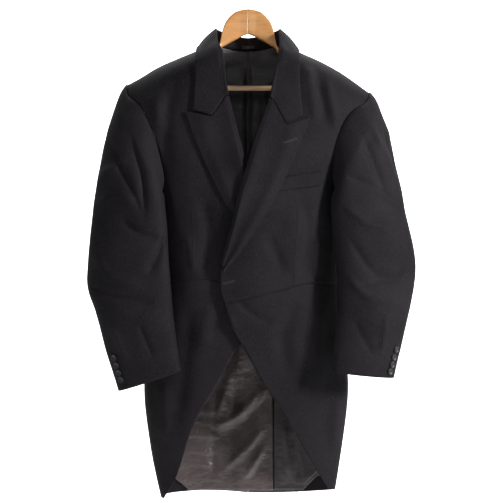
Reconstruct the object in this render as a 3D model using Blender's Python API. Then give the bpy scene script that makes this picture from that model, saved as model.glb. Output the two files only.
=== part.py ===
"""Black morning coat hung on a wooden hanger. Tables are in millimetres, meshes in metres.

+X is the wearer's left, the front faces -Y, +Z is up and the origin is the seat of the hook.
"""
import math

import bmesh
import bpy
import numpy as np
from mathutils import Vector
from mathutils.bvhtree import BVHTree

MM = 0.001
CLOTH = 2.0
LINING = 1.0
LINING_GAP = 2.1
SEAM_GAP = 0.3
EXPONENT = 2.2
RIDGE_DROP = 70.0
CENTRE_Y = -8.0
LAPEL_RISE = 5.0
FOLD_RADIUS = 3.5
BUTTON_RADIUS = 7.5
BUTTON_THICK = 3.0

# Rows of the body's shape: height, half width, front depth, back depth, shift in x.
BODY = (
    ("z", "half", "front", "back", "shift"),
    (-110.0, 300.0, 48.0, 46.0, 0.0),
    (-200.0, 298.0, 62.0, 52.0, 0.0),
    (-280.0, 284.0, 78.0, 58.0, 0.0),
    (-360.0, 245.0, 90.0, 62.0, 0.0),
    (-470.0, 208.0, 95.0, 58.0, 0.0),
    (-560.0, 198.0, 90.0, 52.0, 0.0),
    (-650.0, 194.0, 84.0, 46.0, 0.0),
    (-760.0, 203.0, 78.0, 50.0, -2.0),
    (-880.0, 218.0, 70.0, 52.0, -4.0),
    (-1000.0, 206.0, 54.0, 44.0, -4.0),
    (-1140.0, 180.5, 34.0, 30.0, -0.5),
)
# Shoulder line: x, height.
SHOULDER = (
    ("x", "z"),
    (-300.0, -268.0), (-266.0, -244.0), (-232.0, -226.0), (-189.0, -201.0), (-150.0, -184.0),
    (-111.0, -168.0), (-72.0, -149.0), (-30.0, -128.0), (0.0, -122.0), (30.0, -129.0),
    (72.0, -151.0), (109.0, -170.0), (150.0, -188.0), (193.0, -211.0), (229.0, -235.0),
    (266.0, -262.0), (300.0, -288.0),
)


def column(table, name):
    """One named column of a table."""
    at = table[0].index(name)
    return np.array([row[at] for row in table[1:]], dtype=float)


def smooth_lookup(xs, ys, x):
    """Smooth value of a table's column between its rows (monotone cubic)."""
    xs, ys = np.asarray(xs, float), np.asarray(ys, float)
    h = np.diff(xs)
    d = np.diff(ys) / h
    m = np.zeros_like(ys)
    m[0], m[-1] = d[0], d[-1]
    for i in range(1, len(ys) - 1):
        if d[i - 1] * d[i] > 0:
            w1, w2 = 2 * h[i] + h[i - 1], h[i] + 2 * h[i - 1]
            m[i] = (w1 + w2) / (w1 / d[i - 1] + w2 / d[i])
    x = np.clip(x, xs[0], xs[-1])
    i = np.clip(np.searchsorted(xs, x) - 1, 0, len(xs) - 2)
    t = (x - xs[i]) / h[i]
    a = (1 + 2 * t) * (1 - t) ** 2 * ys[i] + t * (1 - t) ** 2 * h[i] * m[i]
    return a + t * t * (3 - 2 * t) * ys[i + 1] + t * t * (t - 1) * h[i] * m[i + 1]


def body_row(z):
    """Half width, front depth, back depth and shift of the body at height z."""
    zs = column(BODY, "z")[::-1]
    return [smooth_lookup(zs, column(BODY, name)[::-1], z) for name in ("half", "front", "back", "shift")]


def shoulder_z(x):
    return smooth_lookup(column(SHOULDER, "x"), column(SHOULDER, "z"), x)


def smoothstep(a, b, x):
    t = np.clip((x - a) / (b - a), 0.0, 1.0)
    return t * t * (3 - 2 * t)


def layer_shift(x, z, side):
    """Left front lies over the right one where they overlap, in front of its lapel."""
    low = smoothstep(-330.0, -430.0, z)
    left = -4.0 * low * smoothstep(70.0, 0.0, x)
    right = 6.0 * low * smoothstep(-130.0, -70.0, x)
    return left if side > 0 else right


def surface(q, z, side):
    """Point of the body at signed turn q: +q front, -q back; |q| from 0 (+x side) to pi (-x side)."""
    half, front, back, shift = body_row(z)
    c, s = math.cos(q), math.sin(q)
    x = shift + half * math.copysign(abs(c) ** (2 / EXPONENT), c)
    drop = min(max((shoulder_z(x) - z) / RIDGE_DROP, 0.0), 1.0)
    ridge = math.sqrt(max(1 - (1 - drop) ** 2, 0.0))
    round_y = abs(s) ** (2 / EXPONENT) * ridge
    if s >= 0:
        return np.array([x, CENTRE_Y - front * round_y + layer_shift(x, z, side), z])
    return np.array([x, CENTRE_Y + back * round_y, z])


def turn(x, z, front=True):
    """The signed turn that puts a point of height z at x."""
    half, _, _, shift = body_row(z)
    r = max(-1.0, min(1.0, (x - shift) / half))
    q = math.acos(math.copysign(abs(r) ** (EXPONENT / 2), r))
    return q if front else -q


def normal(q, z, side):
    """Outward normal of the body, by small steps; straight up from the shoulder line."""
    p = surface(q, z, side)
    if shoulder_z(p[0]) - z < 1.0:
        slope = shoulder_z(p[0] + 5) - shoulder_z(p[0] - 5)
        n = np.array([-slope, 0.0, 10.0])
        return n / np.linalg.norm(n)
    a = surface(q + 0.01, z, side) - surface(q - 0.01, z, side)
    b = surface(q, z + 0.4, side) - surface(q, z - 1.6, side)
    n = np.cross(b, a)
    n /= np.linalg.norm(n)
    away = np.array([math.cos(q), -math.sin(q), 0.0])
    return n if n @ away > 0 else -n


def spline(points, count, power=1.0):
    """Evenly spaced points of a smooth curve through the rows of a short list."""
    pts = np.asarray(points, float)
    step = np.r_[0.0, np.cumsum(np.linalg.norm(np.diff(pts, axis=0), axis=1))]
    where = np.linspace(0, 1, count) ** power * step[-1]
    return np.stack([smooth_lookup(step, pts[:, k], where) for k in range(pts.shape[1])], axis=1)


def coons(top, bottom, left, right):
    """Rows of points between four edges: top and bottom run along a row, left and right down."""
    u = np.linspace(0, 1, len(top))[None, :, None]
    v = np.linspace(0, 1, len(left))[:, None, None]
    ruled = (1 - u) * left[:, None] + u * right[:, None]
    bend_top = top[None] - (1 - u) * top[0] - u * top[-1]
    bend_bottom = bottom[None] - (1 - u) * bottom[0] - u * bottom[-1]
    return ruled + bend_top * (1 - v) ** 3 + bend_bottom * v ** 3


def on_body(chart, side, lift=0.0):
    """Points and normals of a grid of chart places (turn, height)."""
    rows, cols = chart.shape[:2]
    pts, nrm = np.zeros((rows, cols, 3)), np.zeros((rows, cols, 3))
    for i in range(rows):
        for j in range(cols):
            pts[i, j] = surface(chart[i, j, 0], chart[i, j, 1], side)
            nrm[i, j] = normal(chart[i, j, 0], chart[i, j, 1], side)
    return pts + nrm * lift, nrm


def pull_in(grid, gap=SEAM_GAP / 2, sides=(1, 1, 1, 1)):
    """Draw a panel's four edges in by half a seam gap."""
    g = grid.copy()
    edges = ((0, 1, 0), (-1, -2, 0), (0, 1, 1), (-1, -2, 1))
    for on, (at, toward, axis) in zip(sides, edges):
        if not on:
            continue
        a = g[at] if axis == 0 else g[:, at]
        b = grid[toward] if axis == 0 else grid[:, toward]
        d = b - (grid[at] if axis == 0 else grid[:, at])
        a += d / np.maximum(np.linalg.norm(d, axis=-1, keepdims=True), 1e-9) * gap
    return g


def grid_normals(g, closed=False):
    """Unit normals of a grid from its own rows and columns."""
    if closed:
        du = np.roll(g, -1, axis=1) - np.roll(g, 1, axis=1)
    else:
        du = np.gradient(g, axis=1)
    dv = np.gradient(g, axis=0)
    n = np.cross(du, dv)
    return n / np.maximum(np.linalg.norm(n, axis=-1, keepdims=True), 1e-9)


def shell_mesh(name, outer, inner, closed=False):
    """Closed solid between two grids of points; closed joins the last column to the first."""
    rows, cols = outer.shape[:2]
    bm = bmesh.new()
    layers = [[[bm.verts.new(Vector(p * MM)) for p in row] for row in g] for g in (outer, inner)]
    a, b = layers
    last = cols if closed else cols - 1
    for i in range(rows - 1):
        for j in range(last):
            k = (j + 1) % cols
            bm.faces.new((a[i][j], a[i][k], a[i + 1][k], a[i + 1][j]))
            bm.faces.new((b[i][j], b[i + 1][j], b[i + 1][k], b[i][k]))
    for j in range(last):
        k = (j + 1) % cols
        bm.faces.new((a[0][j], b[0][j], b[0][k], a[0][k]))
        bm.faces.new((a[-1][j], a[-1][k], b[-1][k], b[-1][j]))
    if not closed:
        for i in range(rows - 1):
            bm.faces.new((a[i][0], a[i + 1][0], b[i + 1][0], b[i][0]))
            bm.faces.new((a[i][-1], b[i][-1], b[i + 1][-1], a[i + 1][-1]))
    return finish_mesh(name, bm)


def finish_mesh(name, bm):
    bmesh.ops.recalc_face_normals(bm, faces=bm.faces)
    bmesh.ops.triangulate(bm, faces=bm.faces)
    if bm.calc_volume(signed=True) < 0:
        bmesh.ops.reverse_faces(bm, faces=bm.faces)
    mesh = bpy.data.meshes.new(name)
    bm.to_mesh(mesh)
    bm.free()
    thing = bpy.data.objects.new(name, mesh)
    bpy.context.scene.collection.objects.link(thing)
    return thing


# Colour, roughness and metallic of each material.
MATERIALS = {
    "wool": (0.013, 0.0125, 0.015, 0.85, 0.0),
    "satin_lining": (0.09, 0.078, 0.07, 0.4, 0.0),
    "neck_satin": (0.03, 0.03, 0.033, 0.4, 0.0),
    "button_horn": (0.02, 0.02, 0.022, 0.35, 0.0),
    "honey_wood": (0.56, 0.27, 0.1, 0.35, 0.0),
    "hook_steel": (0.45, 0.45, 0.46, 0.3, 1.0),
}


def paint(thing, kind):
    """Give an object its own material."""
    mat = bpy.data.materials.new(thing.name + "_" + kind)
    mat.use_nodes = True
    shader = mat.node_tree.nodes["Principled BSDF"]
    r, g, b, rough, metal = MATERIALS[kind]
    shader.inputs["Base Color"].default_value = (r, g, b, 1)
    shader.inputs["Roughness"].default_value = rough
    shader.inputs["Metallic"].default_value = metal
    thing.data.materials.append(mat)
    return thing


def cloth(name, pts, nrm, thick=CLOTH, kind="wool", sides=(1, 1, 1, 1)):
    """A panel's closed solid: outer points and the same points moved in by the cloth."""
    outer = pull_in(pts, sides=sides)
    inner = pull_in(pts - nrm * thick, sides=sides)
    return paint(shell_mesh(name, outer, inner), kind)


# Seams and edges, each a short list of x, height. LEFT is the wearer's left (+X).
LEFT = {
    "neck_and_roll": ((73, -152), (70, -173), (59, -234), (49, -281), (22, -357), (-1, -432), (-17, -490),
                      (-25, -524), (-40, -582), (-56, -640), (-57, -668), (-47, -703)),
    "shoulder": ((73, -152), (109, -170), (150, -188), (193, -211), (229, -235), (258, -256)),
    "armhole_front": ((258, -256), (251, -277), (214, -306), (191, -342), (179, -384), (174, -446),
                      (178, -464)),
    "side_seam": ((178, -464), (181, -561), (175, -662)),
    "waist_front": ((-47, -703), (-6, -692), (45, -680), (92, -668), (131, -661), (175, -662)),
    "cutaway": ((-47, -703), (-35, -746), (-16, -781), (2, -812), (22, -849), (46, -887), (76, -934),
                (105, -983), (131, -1031), (150, -1064), (171, -1097)),
    "armhole_back": ((160, -425), (176, -385), (203, -325), (234, -283), (258, -256)),
    "side_back": ((160, -425), (140, -470), (105, -540), (74, -600), (56, -664)),
    "pleat": ((56, -664), (62, -760), (78, -900), (92, -1020), (100, -1116)),
    "neck_back": ((0, -158), (25, -157), (50, -154), (73, -152)),
    "centre": ((0, -158), (0, -430), (0, -664), (0, -900), (0, -1118)),
    "hem_back": ((0, -1118), (50, -1118), (100, -1116)),
    "gorge": ((49, -281), (77, -336), (129, -319)),
    "lapel_edge": ((129, -319), (116, -349), (98, -392), (72, -455), (45, -506), (14, -557), (-16, -602),
                   (-38, -626), (-50, -641)),
    "collar_end": ((49, -281), (77, -335.6), (112, -317)),
}
RIGHT = {
    "neck_and_roll": ((-73, -150), (-64, -170), (-54, -222), (-44, -275), (-24, -355), (-5, -431), (10, -500),
                      (24, -570), (37, -640), (37, -668), (29, -692)),
    "shoulder": ((-73, -150), (-111, -168), (-150, -184), (-189, -201), (-232, -226), (-258, -240)),
    "armhole_front": ((-258, -240), (-254, -262), (-224, -293), (-199, -342), (-183, -394), (-173, -450),
                      (-176, -466)),
    "side_seam": ((-176, -466), (-180, -561), (-173, -658)),
    "waist_front": ((29, -692), (-14, -672), (-61, -655), (-119, -652), (-173, -658)),
    "cutaway": ((29, -692), (18, -735), (1, -765), (-18, -790), (-36, -816), (-58, -858), (-82, -899),
                (-106, -941), (-122, -978), (-134, -1018), (-144, -1049), (-153, -1074), (-179, -1119)),
    "armhole_back": ((-160, -425), (-176, -385), (-203, -325), (-234, -277), (-258, -240)),
    "side_back": ((-160, -425), (-140, -470), (-105, -540), (-74, -600), (-56, -660)),
    "pleat": ((-56, -660), (-62, -760), (-78, -900), (-92, -1020), (-104, -1112)),
    "neck_back": ((0, -158), (-25, -157), (-50, -154), (-73, -150)),
    "centre": ((0, -158), (0, -430), (0, -664), (0, -900), (0, -1118)),
    "hem_back": ((0, -1118), (-50, -1114), (-104, -1112)),
    "gorge": ((-44, -275), (-74, -319), (-129, -307)),
    "lapel_edge": ((-129, -307), (-119, -338), (-98, -391), (-74, -444), (-47, -495), (-24, -530), (0, -575),
                   (17, -600), (31, -617)),
    "collar_end": ((-44, -275), (-74, -318.6), (-114, -306)),
}
# Sleeve sections from armhole to cuff: inner point, outer point, half depth.
SLEEVE_LEFT = (
    ("xi", "yi", "zi", "xo", "yo", "zo", "deep"),
    (174, -68, -474, 279, -18, -288, 50),
    (171, -76, -502, 298, -26, -345, 47),
    (173, -82, -545, 314, -36, -420, 43),
    (178, -86, -592, 330, -46, -510, 40),
    (181, -90, -648, 349, -56, -625, 38),
    (181, -95, -705, 338, -66, -700, 36),
    (176, -102, -778, 318, -78, -780, 31),
    (170, -108, -838, 299, -88, -853, 25),
)
SLEEVE_RIGHT = (
    ("xi", "yi", "zi", "xo", "yo", "zo", "deep"),
    (-173, -68, -477, -279, -18, -280, 50),
    (-170, -76, -503, -297, -26, -340, 47),
    (-166, -82, -545, -310, -36, -410, 43),
    (-163, -86, -594, -326, -46, -525, 40),
    (-159, -90, -658, -336, -56, -650, 38),
    (-153, -95, -716, -316, -66, -717, 36),
    (-145, -102, -778, -297, -78, -782, 31),
    (-136, -108, -836, -265, -88, -880, 25),
)
# Mesh rows and columns shared by neighbouring panels.
ROWS = {"arm": 10, "arm_back": 8, "side": 8, "skirt": 12}
COLS = {"front": 11, "under": 8, "back": 7, "neck": 4}


def chart_line(seams, name, count, front=True, side=1, power=1.0):
    """A seam as evenly spaced chart places."""
    rows = []
    for x, z in spline(seams[name], count, power):
        q = turn(x, z, front)
        if not front and side < 0:
            q += 2 * math.pi
        rows.append((q, z))
    return np.array(rows)


def panels(seams, side):
    """Charts of one side's panels and its armhole, with shared seam samples."""
    def line(name, count, front=True, power=1.0):
        return chart_line(seams, name, count, front, side, power)
    arm = line("armhole_front", ROWS["arm"])
    seam = line("side_seam", ROWS["side"])
    back_arm = line("armhole_back", ROWS["arm_back"], False)
    side_back = line("side_back", ROWS["side"], False)
    pleat = line("pleat", ROWS["skirt"], False)
    count = ROWS["arm"] + ROWS["side"] - 1
    front_edge = line("neck_and_roll", count, power=1.2)
    waist = line("waist_front", COLS["front"])
    shoulder = line("shoulder", COLS["front"])
    forepart = coons(shoulder, waist, front_edge, np.vstack([arm, seam[1:]]))
    ease = np.linspace(0, 1, COLS["under"])[:, None]
    under = (1 - ease) * seam[0] + ease * side_back[0]
    under[:, 1] -= 16 * np.sin(math.pi * ease[:, 0]) ** 0.8
    belt = (1 - ease) * seam[-1] + ease * side_back[-1]
    sidebody = coons(under, belt, seam, side_back)
    back_top = line("shoulder", COLS["back"], False)
    neck = line("neck_back", COLS["neck"], False)
    edge = np.vstack([back_arm[::-1], side_back[1:], pleat[1:]])
    top = np.vstack([neck, back_top[1:]])
    centre = line("centre", len(edge), False)
    hem = line("hem_back", len(top), False)
    back = coons(top, hem, centre, edge)
    cutaway = line("cutaway", ROWS["skirt"])
    skirt_top = np.vstack([waist, belt[1:]])
    step = np.linspace(0, 1, len(skirt_top))[:, None]
    skirt_hem = (1 - step) * cutaway[-1] + step * pleat[-1]
    skirt = coons(skirt_top, skirt_hem, cutaway, pleat)
    loop = np.vstack([arm, under[1:], back_arm[1:-1]])
    return {"forepart": forepart, "sidebody": sidebody, "back": back, "skirt": skirt, "loop": loop}


def fix_shoulder(pts, nrm, row=0):
    """The shoulder edge of a panel stands on the ridge."""
    pts[row, :, 1] = CENTRE_Y
    return pts, nrm


def clear_of_body(p, away):
    """Push a point out until it stands off the body."""
    half, front, back, shift = body_row(p[2])
    depth = front if p[1] < CENTRE_Y else back
    dx, dy = p[0] - shift, p[1] - CENTRE_Y
    level = ((abs(dx) / half) ** EXPONENT + (abs(dy) / depth) ** EXPONENT) ** (1 / EXPONENT)
    reach = math.hypot(dx, dy)
    grow = max(1.0, (1 + away / reach) / max(level, 0.05))
    return np.array([shift + dx * grow, CENTRE_Y + dy * grow, p[2]])


def sleeve_grid(parts, side, table, per_row=2):
    """Rings of the sleeve from the armhole's own samples down to the cuff."""
    loop = parts["loop"]
    ring0 = np.array([surface(q, z, side) for q, z in loop])
    ring0[0, 1] = CENTRE_Y
    out = np.array([normal(q, z, side) for q, z in loop])
    middle = ring0.mean(axis=0)
    inward = middle - ring0
    inward /= np.linalg.norm(inward, axis=1, keepdims=True)
    start = ring0 + inward * SEAM_GAP
    lift = ring0 + inward * 1.0 + out * 4.5
    n_front = ROWS["arm"]
    n_all = len(loop)
    theta = np.r_[np.linspace(0, math.pi * 0.97, n_front), np.linspace(math.pi * 0.97, 2 * math.pi,
                                                                      n_all - n_front + 2)[1:-1]]
    cols = {name: column(table, name) for name in table[0]}
    at = np.arange(len(table) - 1)
    fine = np.linspace(0, len(at) - 1, (len(at) - 1) * per_row + 1)
    get = {name: smooth_lookup(at, values, fine) for name, values in cols.items()}
    rings = [start, lift]
    for k in range(len(fine)):
        inner = np.array([get["xi"][k], get["yi"][k], get["zi"][k]])
        outer = np.array([get["xo"][k], get["yo"][k], get["zo"][k]])
        centre, arm = (inner + outer) / 2, (outer - inner) / 2
        ring = []
        for t in theta:
            p = centre + arm * math.cos(t) + np.array([0, -get["deep"][k] * math.sin(t), 0])
            ring.append(clear_of_body(p, 3.5) if p[2] < -440 and abs(p[0]) < 230 else p)
        rings.append(np.array(ring))
    return np.stack(rings)


def oriented(g, n, centre_line):
    """Normals turned away from a line of centres."""
    away = g - centre_line[:, None]
    flip = np.sign((n * away).sum())
    return n * (1 if flip >= 0 else -1)


def build_sleeve(parts, side, table, word):
    """Top sleeve and under sleeve, split along the outer and inner seams."""
    g = sleeve_grid(parts, side, table)
    n = oriented(g, grid_normals(g, closed=True), g.mean(axis=1))
    inner = g - n * CLOTH
    inner[0] = g[0] - (n[0] * 0.4 + n[1] * 0.6) * CLOTH
    total = g.shape[1]
    first, last = total - 2, ROWS["arm"] - 1
    top_cols = [(first + k) % total for k in range((last - first) % total + 1)]
    under_cols = [(last + k) % total for k in range((first - last) % total + 1)]
    for name, cols in (("top_sleeve_", top_cols), ("under_sleeve_", under_cols)):
        a, b = g[:, cols], inner[:, cols]
        paint(shell_mesh(name + word, pull_in(a, sides=(0, 0, 1, 1)), pull_in(b, sides=(0, 0, 1, 1))), "wool")
    return g, n


def body_tree(outer_grids):
    """Search tree of the panels' outer faces."""
    verts, faces = [], []
    for g in outer_grids:
        rows, cols = g.shape[:2]
        base = len(verts)
        verts += [Vector(p) for p in g.reshape(-1, 3)]
        for i in range(rows - 1):
            for j in range(cols - 1):
                a = base + i * cols + j
                faces.append((a, a + 1, a + cols + 1, a + cols))
    return BVHTree.FromPolygons(verts, faces)


def stand_off(tree, p, axis_point, clear):
    """Move a point out until it clears the panels by the given distance."""
    hit, n, _, dist = tree.find_nearest(Vector(p), 40.0)
    if hit is None:
        return p
    n, hit = np.array(n), np.array(hit)
    if n @ (hit - axis_point) < 0:
        n = -n
    high = (p - hit) @ n
    return p + n * (clear - high) if high < clear else p


def axis_of(p):
    return np.array([p[0] * 0.6, CENTRE_Y, min(p[2], -230.0)])


def fold_section(start, apex, edge, out, count):
    """Outer path of a folded strip: from its seam, round the fold, to its free edge."""
    down, fall = start - apex, edge - apex
    down, fall = down / np.linalg.norm(down), fall / np.linalg.norm(fall)
    up = -(down + fall)
    up /= np.linalg.norm(up)
    side = out - (out @ up) * up
    side /= np.linalg.norm(side)
    r = FOLD_RADIUS
    turn_in = apex - up * r - side * r * 0.9
    turn_out = apex - up * r + side * r * 0.9
    start = start - down * 1.5
    path = [start, start * 0.5 + turn_in * 0.5, turn_in, apex - up * r * 0.35 - side * r * 0.7, apex,
            apex - up * r * 0.35 + side * r * 0.7, turn_out]
    for u in np.linspace(0, 1, count + 1)[1:]:
        path.append(turn_out * (1 - u) + edge * u + side * 2.0 * math.sin(math.pi * u))
    return np.array(path)


# Collar rows from the gorge to the centre back: place on the neck seam, apex of the fold, free edge.
COLLAR_LEFT = (
    ("front", "xn", "zn", "xf", "yf", "zf", "xe", "ze"),
    (1, 49, -281, 44.5, -91, -280, 112, -317),
    (1, 59, -234, 53, -80, -234, 109.5, -283),
    (1, 68, -190, 61.5, -66, -190, 106.5, -235),
    (1, 71.5, -166, 66, -36, -150, 106, -193),
    (1, 73, -152.5, 67, -5, -119, 104, -165),
    (0, 58, -153, 54, 14, -121, 92, -181),
    (0, 30, -156.5, 28, 26, -127, 50, -181),
    (0, 0.1, -158, 0, 31, -130, 0, -179),
)
COLLAR_RIGHT = (
    ("front", "xn", "zn", "xf", "yf", "zf", "xe", "ze"),
    (1, -44, -275, -39.5, -91, -274, -114, -306),
    (1, -51.6, -222, -47.5, -77, -222, -111, -272),
    (1, -56.2, -180, -52.5, -61, -180, -109, -228),
    (1, -67.5, -162, -64, -36, -148, -108, -190),
    (1, -73, -150.5, -67, -5, -118, -105, -163),
    (0, -58, -153, -54, 14, -121, -92, -180),
    (0, -30, -156.5, -28, 26, -127, -50, -181),
    (0, -0.1, -158, 0, 31, -130, 0, -179),
)


def place(x, z, front, side, lift=0.0):
    """Point and normal of the body at x and height z."""
    q = turn(x, z, front)
    if not front and side < 0:
        q += 2 * math.pi
    n = normal(q, z, side)
    return surface(q, z, side) + n * lift, n


def collar_half(table, seams, side, count=6, per_row=2):
    """Sections of one half of the collar, gorge first."""
    rows = []
    for row in table[1:]:
        front, xn, zn, xf, yf, zf, xe, ze = row
        seam, n = place(xn, zn, front, side, -CLOTH)
        edge, _ = place(xe, ze, front, side, LAPEL_RISE)
        rows.append(np.r_[seam, n, xf, yf, zf, edge])
    rows = np.array(rows)
    fine = spline(rows[:, 6:9], (len(rows) - 1) * per_row + 1)
    at = np.arange(len(rows))
    dense = np.linspace(0, len(rows) - 1, len(fine))
    rows = np.stack([smooth_lookup(at, rows[:, k], dense) for k in range(12)], axis=1)
    sections = [fold_section(r[:3], r[6:9], r[9:12], r[3:6], count) for r in rows]
    grid = np.stack(sections)
    out = rows[:, 3:6]
    end = [place(x, z, True, side, LAPEL_RISE)[0] for x, z in spline(seams["collar_end"], count + 1)]
    shift = np.array(end)[1:] - grid[0, 7:]
    for k in range(per_row * 2):
        grid[k, 7:] += shift * (1 - k / (per_row * 2)) ** 1.5
    return grid, out


def build_collar(tree):
    left, out_left = collar_half(COLLAR_LEFT, LEFT, 1)
    right, out_right = collar_half(COLLAR_RIGHT, RIGHT, -1)
    grid = np.vstack([left, right[::-1][1:]])
    out = np.vstack([out_left, out_right[::-1][1:]])
    for i in range(grid.shape[0]):
        for j in range(8, grid.shape[1]):
            clear = LAPEL_RISE + (3.0 if grid[i, j, 2] > -205 else 0.0)
            grid[i, j] = stand_off(tree, grid[i, j], axis_of(grid[i, j]), clear)
    n = grid_normals(grid)
    mid = grid.shape[0] // 2
    if n[mid, -2] @ np.array([0, 1.0, 0]) < 0:
        n = -n
    n[:, 0] = -out / np.linalg.norm(out, axis=1, keepdims=True)
    cloth("collar", pull_in(grid, 0.6, (0, 0, 1, 0)), n, 2.2, sides=(1, 1, 0, 0))
    return grid, n


ROLL = {
    1: ((49, -283), (22, -357), (-1, -432), (-17, -490), (-25, -524), (-40, -582), (-51, -622)),
    -1: ((-44, -277), (-24, -355), (-5, -431), (10, -500), (24, -570), (31, -606)),
}


def lapel_grid(seams, side, rows=13, cols=8):
    """Turned back lapel: round the roll from the forepart's edge, then across to its own edge."""
    left = chart_line({"r": ROLL[side]}, "r", rows, True, side)
    right = chart_line(seams, "lapel_edge", rows, True, side)
    top = chart_line(seams, "gorge", cols, True, side)
    step = np.linspace(0, 1, cols)[:, None]
    bottom = (1 - step) * left[-1] + step * right[-1]
    top[0] = left[0]
    chart = coons(top, bottom, left, right)
    pts, nrm = on_body(chart, side)
    rise = LAPEL_RISE - 0.8 * np.linspace(0, 1, cols)
    across = pts + nrm * rise[None, :, None]
    along = np.gradient(pts[:, 0], axis=0)
    along /= np.linalg.norm(along, axis=1, keepdims=True)
    inward = np.cross(along, nrm[:, 0])
    inward *= np.sign((inward * (pts[:, 0] - pts[:, 1])).sum(axis=1, keepdims=True))
    arc = []
    for degree in (-90, -45, 0, 45):
        a = math.radians(degree)
        arc.append(pts[:, 0] + inward * (2.1 + 3.5 * math.cos(a)) + nrm[:, 0] * (1.5 + 3.5 * math.sin(a)))
    return np.concatenate([np.stack(arc, axis=1), across], axis=1), nrm[:, 0]


def build_lapel(seams, side, word):
    g, out = lapel_grid(seams, side)
    n = grid_normals(g)
    if n[4, 8, 1] > 0:
        n = -n
    n[:, 0] = -out
    cloth("lapel_" + word, pull_in(g, 0.4, (1, 0, 0, 0)), n, sides=(1, 0, 0, 0))
    return g, n


def patch(name, corners, side, lift, thick, kind="wool", rows=4, cols=8):
    """A small piece laid on the front from its four corners: two along the top, two below."""
    a, b, c, d = [np.array(p, float) for p in corners]
    outer = np.zeros((rows, cols, 3))
    nrm = np.zeros((rows, cols, 3))
    for i, v in enumerate(np.linspace(0, 1, rows)):
        for j, u in enumerate(np.linspace(0, 1, cols)):
            x, z = (1 - v) * ((1 - u) * a + u * b) + v * ((1 - u) * d + u * c)
            outer[i, j], nrm[i, j] = place(x, z, True, side, lift + thick)
    return cloth(name, outer, nrm, thick, kind, (0, 0, 0, 0))


def lathe(name, rows, centre, axis, kind, steps=12):
    """Solid of revolution: rows of radius and distance along the axis, closed at both ends."""
    axis = Vector(axis).normalized()
    turn_by = Vector((0, 0, 1)).rotation_difference(axis)
    bm = bmesh.new()
    rings = []
    for radius, high in rows:
        ring = []
        for k in range(steps):
            a = 2 * math.pi * k / steps
            p = turn_by @ Vector((radius * math.cos(a), radius * math.sin(a), high)) + Vector(centre)
            ring.append(bm.verts.new(p * MM))
        rings.append(ring)
    for a, b in zip(rings, rings[1:]):
        for k in range(steps):
            bm.faces.new((a[k], a[(k + 1) % steps], b[(k + 1) % steps], b[k]))
    bm.faces.new(rings[0][::-1])
    bm.faces.new(rings[-1])
    return paint(finish_mesh(name, bm), kind)


BUTTON = ((5.6, 0.0), (7.4, 1.0), (7.5, 2.0), (6.7, 2.9), (5.4, 2.4), (3.0, 2.2))


def button(name, spot, n, scale=1.0):
    """Turned button with a raised rim, lying on the cloth at spot."""
    rows = [(r * scale, h * scale) for r, h in BUTTON]
    lathe(name, rows, spot + n * 0.4, n, "button_horn")


CUFF_BUTTONS = {
    1: ((300, -794), (295, -809), (291, -823), (287, -838)),
    -1: ((-271, -811), (-267, -826), (-262, -841), (-257, -855)),
}


def nearest_front(g, n, x, z):
    """Point and normal of a sleeve's front half at x and height z."""
    best = None
    half = ROWS["arm"]
    for i in range(2, g.shape[0] - 1):
        for j in range(0, half):
            for s in np.linspace(0, 1, 9):
                for t in np.linspace(0, 1, 9):
                    a = (1 - t) * g[i, j] + t * g[i, j + 1]
                    b = (1 - t) * g[i + 1, j] + t * g[i + 1, j + 1]
                    p = (1 - s) * a + s * b
                    far = (p[0] - x) ** 2 + (p[2] - z) ** 2
                    if best is None or far < best[0]:
                        best = (far, p, np.cross(g[i, j + 1] - g[i, j], g[i + 1, j] - g[i, j]), n[i, j])
    _, p, face, guide = best
    face /= np.linalg.norm(face)
    return p, face if face @ guide > 0 else -face


def build_cuff_buttons(g, n, side, word):
    """Four buttons in a row up the back seam of the cuff."""
    for k, (x, z) in enumerate(CUFF_BUTTONS[side]):
        spot, face = nearest_front(g[-8:], n[-8:], x, z)
        button("cuff_button_%s_%d" % (word, k + 1), spot, face, 0.88)


TAIL_LINING_TOP, TAIL_LINING_END = -712.0, -1094.0
FACING_WIDE = 24.0
VENT_EDGE = {1: 14.0, -1: 54.0}
UNDERLAP_STEP = 5.4


def tail_lining(side, word):
    """Lining of a tail and its skirt, laid inside them; the right one steps in over the underlap."""
    rows, cols = 12, 18
    cut = spline((LEFT if side > 0 else RIGHT)["cutaway"], 40)
    chart = np.zeros((rows, cols, 2))
    depth = np.zeros((rows, cols))
    for i, z in enumerate(np.linspace(TAIL_LINING_TOP, TAIL_LINING_END, rows)):
        zf = max(z, cut[-1, 1] + 12.0)
        x_front = float(np.interp(-zf, -cut[:, 1], cut[:, 0])) + side * FACING_WIDE
        q0 = turn(x_front, z, True)
        x_back = VENT_EDGE[side]
        q1 = -turn(x_back, z, True) if side > 0 else 2 * math.pi - turn(x_back, z, True)
        for j, u in enumerate(np.linspace(0, 1, cols)):
            q = q0 * (1 - u) + q1 * u
            chart[i, j] = (q, z)
            x = surface(q, z, side)[0]
            under = smoothstep(-40.0, -16.0, x) if side < 0 and math.sin(q) < 0 else 0.0
            depth[i, j] = CLOTH + LINING_GAP + UNDERLAP_STEP * under
    pts, nrm = on_body(chart, side)
    inside = pts - nrm * depth[..., None]
    return cloth("tail_lining_" + word, inside, nrm, LINING, "satin_lining", (0, 0, 0, 0))


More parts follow.
